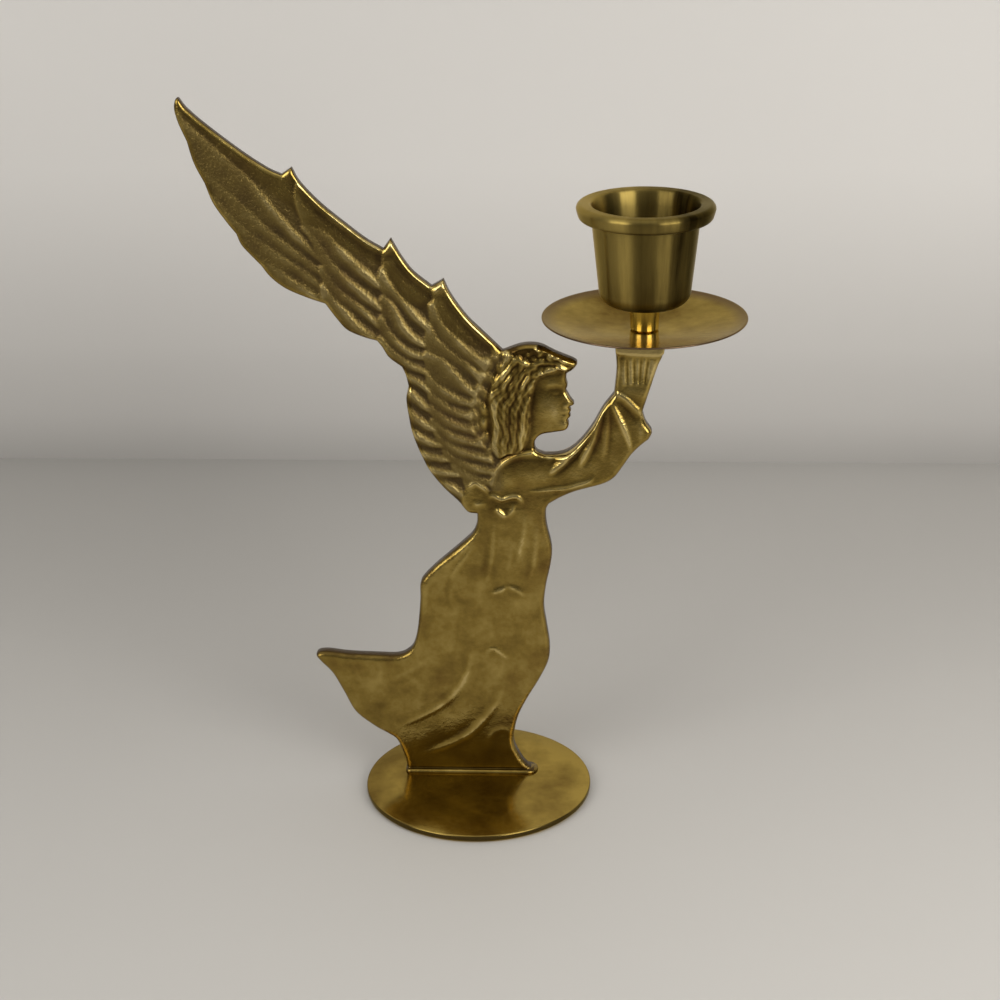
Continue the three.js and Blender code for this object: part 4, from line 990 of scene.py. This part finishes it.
sand_grain = add_node(tree, "ShaderNodeBump", {
    "Height": grain.outputs["Fac"], "Strength": grain_strength.outputs["Result"], "Distance": 0.0003,
    "Normal": soft_waves.outputs["Normal"]})
tree.links.new(sand_grain.outputs["Normal"], shader.inputs["Normal"])
mesh.materials.clear()
mesh.materials.append(brass)
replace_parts(figure, "angel_figure")
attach(figure, "root")


# Base
# A thin turned brass disc with a rounded edge. The figure stands on it a little behind the middle, held by
# two countersunk screws from below.
base_rim = [(26.6, 0), (27.1, 0.5), (27.2, 0.7)] + arc((26.75, 1.42), 0.45, 0, 78, 8)
base_rim += [(25.6, 2.1), (24.3, 2.36), (22.6, 2.62), (20.8, 2.86), (19.2, 2.97)]
base_top = [(radius, FOOT) for radius in (17.5, 12, 6, 0)]
COUNTERSINK = 2.6  # radius of the wide end of the screw holes, in mm
base = turning("base_disc_turned", [(0, 0), (25, 0)] + base_rim + base_top, 160)
for x in SCREW_PLACES:
    drill(base, [(0, -1), (COUNTERSINK, -1), (COUNTERSINK, 0.52), (FOOT_BORE, 1.6), (FOOT_BORE, 4), (0, 4)],
          (x, MIDDLE, 0), 32)


# Polished brass, an alloy of copper and zinc, gone slightly yellow brown: a near mirror with faint turning
# lines round the middle and cloudy patches where hands have dulled it. On the base and the cup the patches
# also carry a painted shade from one side to the other.
TURNING_LINES = 2600.0  # for each metre: about 0.4 mm apart, coarser than the real ones, so that they show
STREAK_SCALE = (8.0, 8.0, 8.0)  # the height's weight against the way round, which makes a stain a streak


def turned_brass(name, axis, fresh, stained, rough, lines, stain_scale, mark_scale, stain_edges=(0.38, 0.68),
                 painted_shade_drift=0.0, rim=None, across=0.0, wear=(0.75, 1.35)):
    """Brass with fine lines round an upright axis, in metres. The scales say how many stains and small marks
    fit in a metre, and a painted shade that the drift gives for each metre to the right darkens the stains
    towards the right, and lightens them there when the drift is below nought. The rim, from one radius to
    another, has a colour of its own. Where the lines dull the gloss across them, the stains are streaks up
    and down."""
    material, tree, shader = new_material(name)
    shader.inputs["Metallic"].default_value = 1
    shader.inputs["Specular Tint"].default_value = linear("#faeecb")
    place = add_node(tree, "ShaderNodeTexCoord")
    from_axis = add_node(tree, "ShaderNodeVectorMath", {
        0: place.outputs["Object"], 1: axis}, operation="SUBTRACT")
    apart = add_node(tree, "ShaderNodeSeparateXYZ", {"Vector": from_axis.outputs["Vector"]})
    flat = add_node(tree, "ShaderNodeCombineXYZ", {"X": apart.outputs["X"], "Y": apart.outputs["Y"]})
    radius = add_node(tree, "ShaderNodeVectorMath", {0: flat.outputs["Vector"]}, operation="LENGTH")
    stain_place = place.outputs["Object"]
    if across:
        around = add_node(tree, "ShaderNodeVectorMath", {0: flat.outputs["Vector"]}, operation="NORMALIZE")
        height = add_node(tree, "ShaderNodeCombineXYZ", {"Z": apart.outputs["Z"]})
        streak = add_node(tree, "ShaderNodeVectorMath", {
            0: height.outputs["Vector"], 1: STREAK_SCALE, 2: around.outputs["Vector"]},
            operation="MULTIPLY_ADD")
        stain_place = streak.outputs["Vector"]
    clouds = add_node(tree, "ShaderNodeTexNoise", {
        "Vector": stain_place, "Scale": stain_scale, "Detail": 6.0, "Roughness": 0.62})
    # Painted shade: the drift shifts the stains along X.
    stains_and_painted_shade = add_node(tree, "ShaderNodeMath", {
        0: apart.outputs["X"], 1: painted_shade_drift, 2: clouds.outputs["Fac"]}, operation="MULTIPLY_ADD")
    stain_and_shade_share = add_node(tree, "ShaderNodeMapRange", {
        "Value": stains_and_painted_shade.outputs["Value"], "From Min": stain_edges[0], "From Max": stain_edges[1]})
    colour = add_node(tree, "ShaderNodeMix", {
        "Factor": stain_and_shade_share.outputs["Result"], "A": linear(fresh), "B": linear(stained)}, data_type="RGBA")
    if rim:
        at_rim = add_node(tree, "ShaderNodeMapRange", {
            "Value": radius.outputs["Value"], "From Min": rim[0], "From Max": rim[1]})
        colour = add_node(tree, "ShaderNodeMix", {
            "Factor": at_rim.outputs["Result"], "A": colour.outputs["Result"], "B": linear(rim[2])},
            data_type="RGBA")
    tree.links.new(colour.outputs["Result"], shader.inputs["Base Color"])
    marks = add_node(tree, "ShaderNodeTexNoise", {
        "Vector": place.outputs["Object"], "Scale": mark_scale, "Detail": 4.0, "Roughness": 0.7})
    dulled = add_node(tree, "ShaderNodeMapRange", {
        "Value": marks.outputs["Fac"], "From Min": 0.3, "From Max": 0.75, "To Min": rough * wear[0],
        "To Max": rough * wear[1]})
    tree.links.new(dulled.outputs["Result"], shader.inputs["Roughness"])
    ring = add_node(tree, "ShaderNodeCombineXYZ", {"X": radius.outputs["Value"], "Z": apart.outputs["Z"]})
    rings = add_node(tree, "ShaderNodeTexNoise", {
        "Vector": ring.outputs["Vector"], "Scale": TURNING_LINES, "Detail": 2.0})
    bump = add_node(tree, "ShaderNodeBump", {
        "Height": rings.outputs["Fac"], "Strength": lines, "Distance": 0.00005})
    tree.links.new(bump.outputs["Normal"], shader.inputs["Normal"])
    if across:
        shader.inputs["Anisotropic"].default_value = across
        shader.inputs["Anisotropic Rotation"].default_value = 0.25
        tangent = add_node(tree, "ShaderNodeTangent", direction_type="RADIAL", axis="Z")
        tree.links.new(tangent.outputs["Tangent"], shader.inputs["Tangent"])
    return material


# Painted light on the base: paler to the right, a painted reflection of the brighter wall there, and a
# painted shade on its edge.
base.data.materials.clear()
base.data.materials.append(turned_brass(
    "polished_base_brass_painted_light", (0, 0, 0), "#ac934b", "#755e2d", 0.2, 0.12, 75.0, 675.0, painted_shade_drift=-4.0,
    rim=(0.027, 0.0272, "#4e4022")))
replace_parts(base, "base_disc")
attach(base, "root")


# Drip pan
# A shallow spun saucer of thin sheet brass that lies on the hand, with its rim swept up to catch wax. The
# screw through the cup clamps it.
PAN_FLAT = 5  # radius of its flat middle, in mm
PAN_SLOPE = 18.2  # from there to its edge
PAN_RISE = 3.5  # of its edge above the flat middle
PAN_SHEET = 0.8  # thickness, which the spinning thins to a half at the edge
CUP_AXIS = (AXIS / 1000, MIDDLE / 1000, 0)


def pan_share(radius):
    """How far up the slope a radius is, from 0 to 1."""
    return (radius - PAN_FLAT) / PAN_SLOPE


def pan_height(radius):
    """The rise of the pan's underside above the seat, in mm."""
    return PAN_RISE * max(0.0, pan_share(radius)) ** 1.35


pan_radii = [PAN_FLAT + PAN_SLOPE * i / 26 for i in range(26)]
pan_under = [(CUP_BORE, 0), (3.5, 0)] + [(r, pan_height(r)) for r in pan_radii]
pan_under += [(23.0, pan_height(23.0) + 0.02)]
pan_edge = arc((23.0, pan_height(23.2) + 0.2), 0.2, -60, 90, 6)
pan_over = [(r, pan_height(r) + PAN_SHEET - PAN_SHEET / 2 * pan_share(r)) for r in reversed(pan_radii)]
pan_over += [(3.5, PAN_SHEET), (CUP_BORE, PAN_SHEET)]
pan = moved(turning("drip_pan_spun", pan_under + pan_edge + pan_over, 160), AXIS, MIDDLE, SEAT)
pan.data.materials.append(turned_brass(
    "spun_sheet_brass", CUP_AXIS, "#a48e4d", "#664e22", 0.19, 0.16, 70.0, 630.0,
    stain_edges=(0.36, 0.62), rim=(0.0194, 0.0222, "#6c5843")))
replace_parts(pan, "drip_pan")
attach(pan, "root")


# Collar
# A short turned brass spacer, wider at its top, between the pan and the cup. It is still bright, because
# nobody touches it.
COLLAR_HEIGHT = 6.1  # in mm
collar_foot = [(CUP_BORE, 0), (2.85, 0), (2.95, 0.12)]
collar_side = [(3.2 + 0.7 * (i / 16) ** 3, COLLAR_HEIGHT * i / 16) for i in range(1, 17)]
collar_top = [(3.8, COLLAR_HEIGHT), (CUP_BORE, COLLAR_HEIGHT)]
collar = turning("cup_collar_turned", collar_foot + collar_side + collar_top, 96)
moved(collar, AXIS, MIDDLE, SEAT + PAN_SHEET)
collar.data.materials.append(turned_brass(
    "bright_turned_brass", CUP_AXIS, "#f8e8ac", "#f0dc92", 0.07, 0.05, 200.0, 1800.0))
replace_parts(collar, "cup_collar")
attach(collar, "root")


# Candle cup
# A turned brass cup with a rounded foot, a wall that widens upwards and a thick overhanging lip. The candle
# stands in it on the head of the screw that holds the whole stack to the hand.
CUP_PLACE = 6.9  # of its foot above the seat, on the pan and the collar, in mm
CUP_FLOOR = 1.2  # thickness, in mm
cup_foot = [(CUP_BORE, 0), (3.0, 0), (5.6, 0)] + arc((7.0, 3.4), 3.4, -90, 0, 14)
cup_wall = [(10.4 + 1.7 * t, 3.4 + 16.05 * t) for t in (0.03, 0.2, 0.4, 0.6, 0.8, 0.96)]
cup_lip = arc((12.35, 19.2), 0.25, 180, 90, 4) + arc((13.9, 20.7), 1.25, -90, -12, 8)
cup_lip += arc((14.3, 21.9), 1.2, 0, 90, 10) + [(13.4, 23.06)] + arc((12.75, 22.3), 0.75, 80, 165, 5)
cup_inside = [(11.7, 21.6), (11.3, 19.45), (10.8, 14.0), (10.2, 8.0), (9.65, 4.2)]
cup_inside += arc((7.0, 3.8), 2.6, -5, -90, 10) + [(5.0, CUP_FLOOR), (CUP_BORE, CUP_FLOOR)]
cup = turning("candle_cup_turned", cup_foot + cup_wall + cup_lip + cup_inside, 160)
moved(cup, AXIS, MIDDLE, SEAT + CUP_PLACE)
# Painted shade on the cup: darker to the right and paler to the left, carried in its stains.
cup.data.materials.append(turned_brass(
    "satin_turned_brass_painted_shade", CUP_AXIS, "#9b8648", "#2a200c", 0.31, 0.3, 3.5, 540.0,
    stain_edges=(0.05, 0.95), painted_shade_drift=40.0, across=0.95, wear=(0.95, 1.1)))
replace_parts(cup, "candle_cup")
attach(cup, "root")


# Screws and washer
# Plain machined brass: two countersunk screws under the foot, one domed screw down through the cup into the
# hand, and the flat washer under its head. The screws are slotted.
SLOT_WIDTH, SLOT_DEPTH = 0.7, 0.7  # in mm
WASHER = 0.6  # its thickness, in mm
machined = turned_brass("machined_brass", (0, 0, 0), "#c4a765", "#a58849", 0.26, 0.2, 300.0, 2700.0)


def slotted(name, profile, face, place):
    """A slotted screw at a place in mm, with its slot cut into the face of its head at a given height."""
    screw = turning(name, profile, 48)
    blade = bmesh.new()
    bmesh.ops.create_cube(blade, size=1)
    bmesh.ops.scale(blade, verts=blade.verts, vec=(0.02, SLOT_WIDTH / 1000, 2 * SLOT_DEPTH / 1000))
    bmesh.ops.translate(blade, verts=blade.verts, vec=(0, 0, face / 1000))
    combine(screw, made("slot", blade), "DIFFERENCE")
    moved(screw, *place)
    screw.data.materials.clear()
    screw.data.materials.append(machined)
    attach(screw, "root")
    return screw


foot_screw = [(0, 0.3), (2.2, 0.3), (2.35, 0.42), (2.35, 0.55), (1.25, 1.6), (1.25, 8.9), (0.85, 9.3),
              (0, 9.3)]
for side, x in zip(("left", "right"), SCREW_PLACES):
    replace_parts(slotted(f"foot_screw_{side}_turned", foot_screw, 0.3, (x, MIDDLE, 0)), f"foot_screw_{side}")

washer_profile = [(CUP_BORE, 0), (3.4, 0), (3.5, 0.1), (3.5, 0.5), (3.4, WASHER), (CUP_BORE, WASHER)]
washer = turning("cup_washer_turned", washer_profile, 64)
moved(washer, AXIS, MIDDLE, SEAT + CUP_PLACE + CUP_FLOOR)
washer.data.materials.append(machined)
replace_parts(washer, "cup_washer")
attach(washer, "root")

cup_screw = [(0, -18), (1.1, -18), (1.5, -17.6), (1.5, 0), (2.8, 0), (2.8, 0.9), (2.6, 1.3), (2.2, 1.62),
             (1.5, 1.78), (0, 1.8)]
screw_place = (AXIS, MIDDLE, SEAT + CUP_PLACE + CUP_FLOOR + WASHER)
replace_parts(slotted("cup_screw_turned", cup_screw, 1.8, screw_place), "cup_screw")
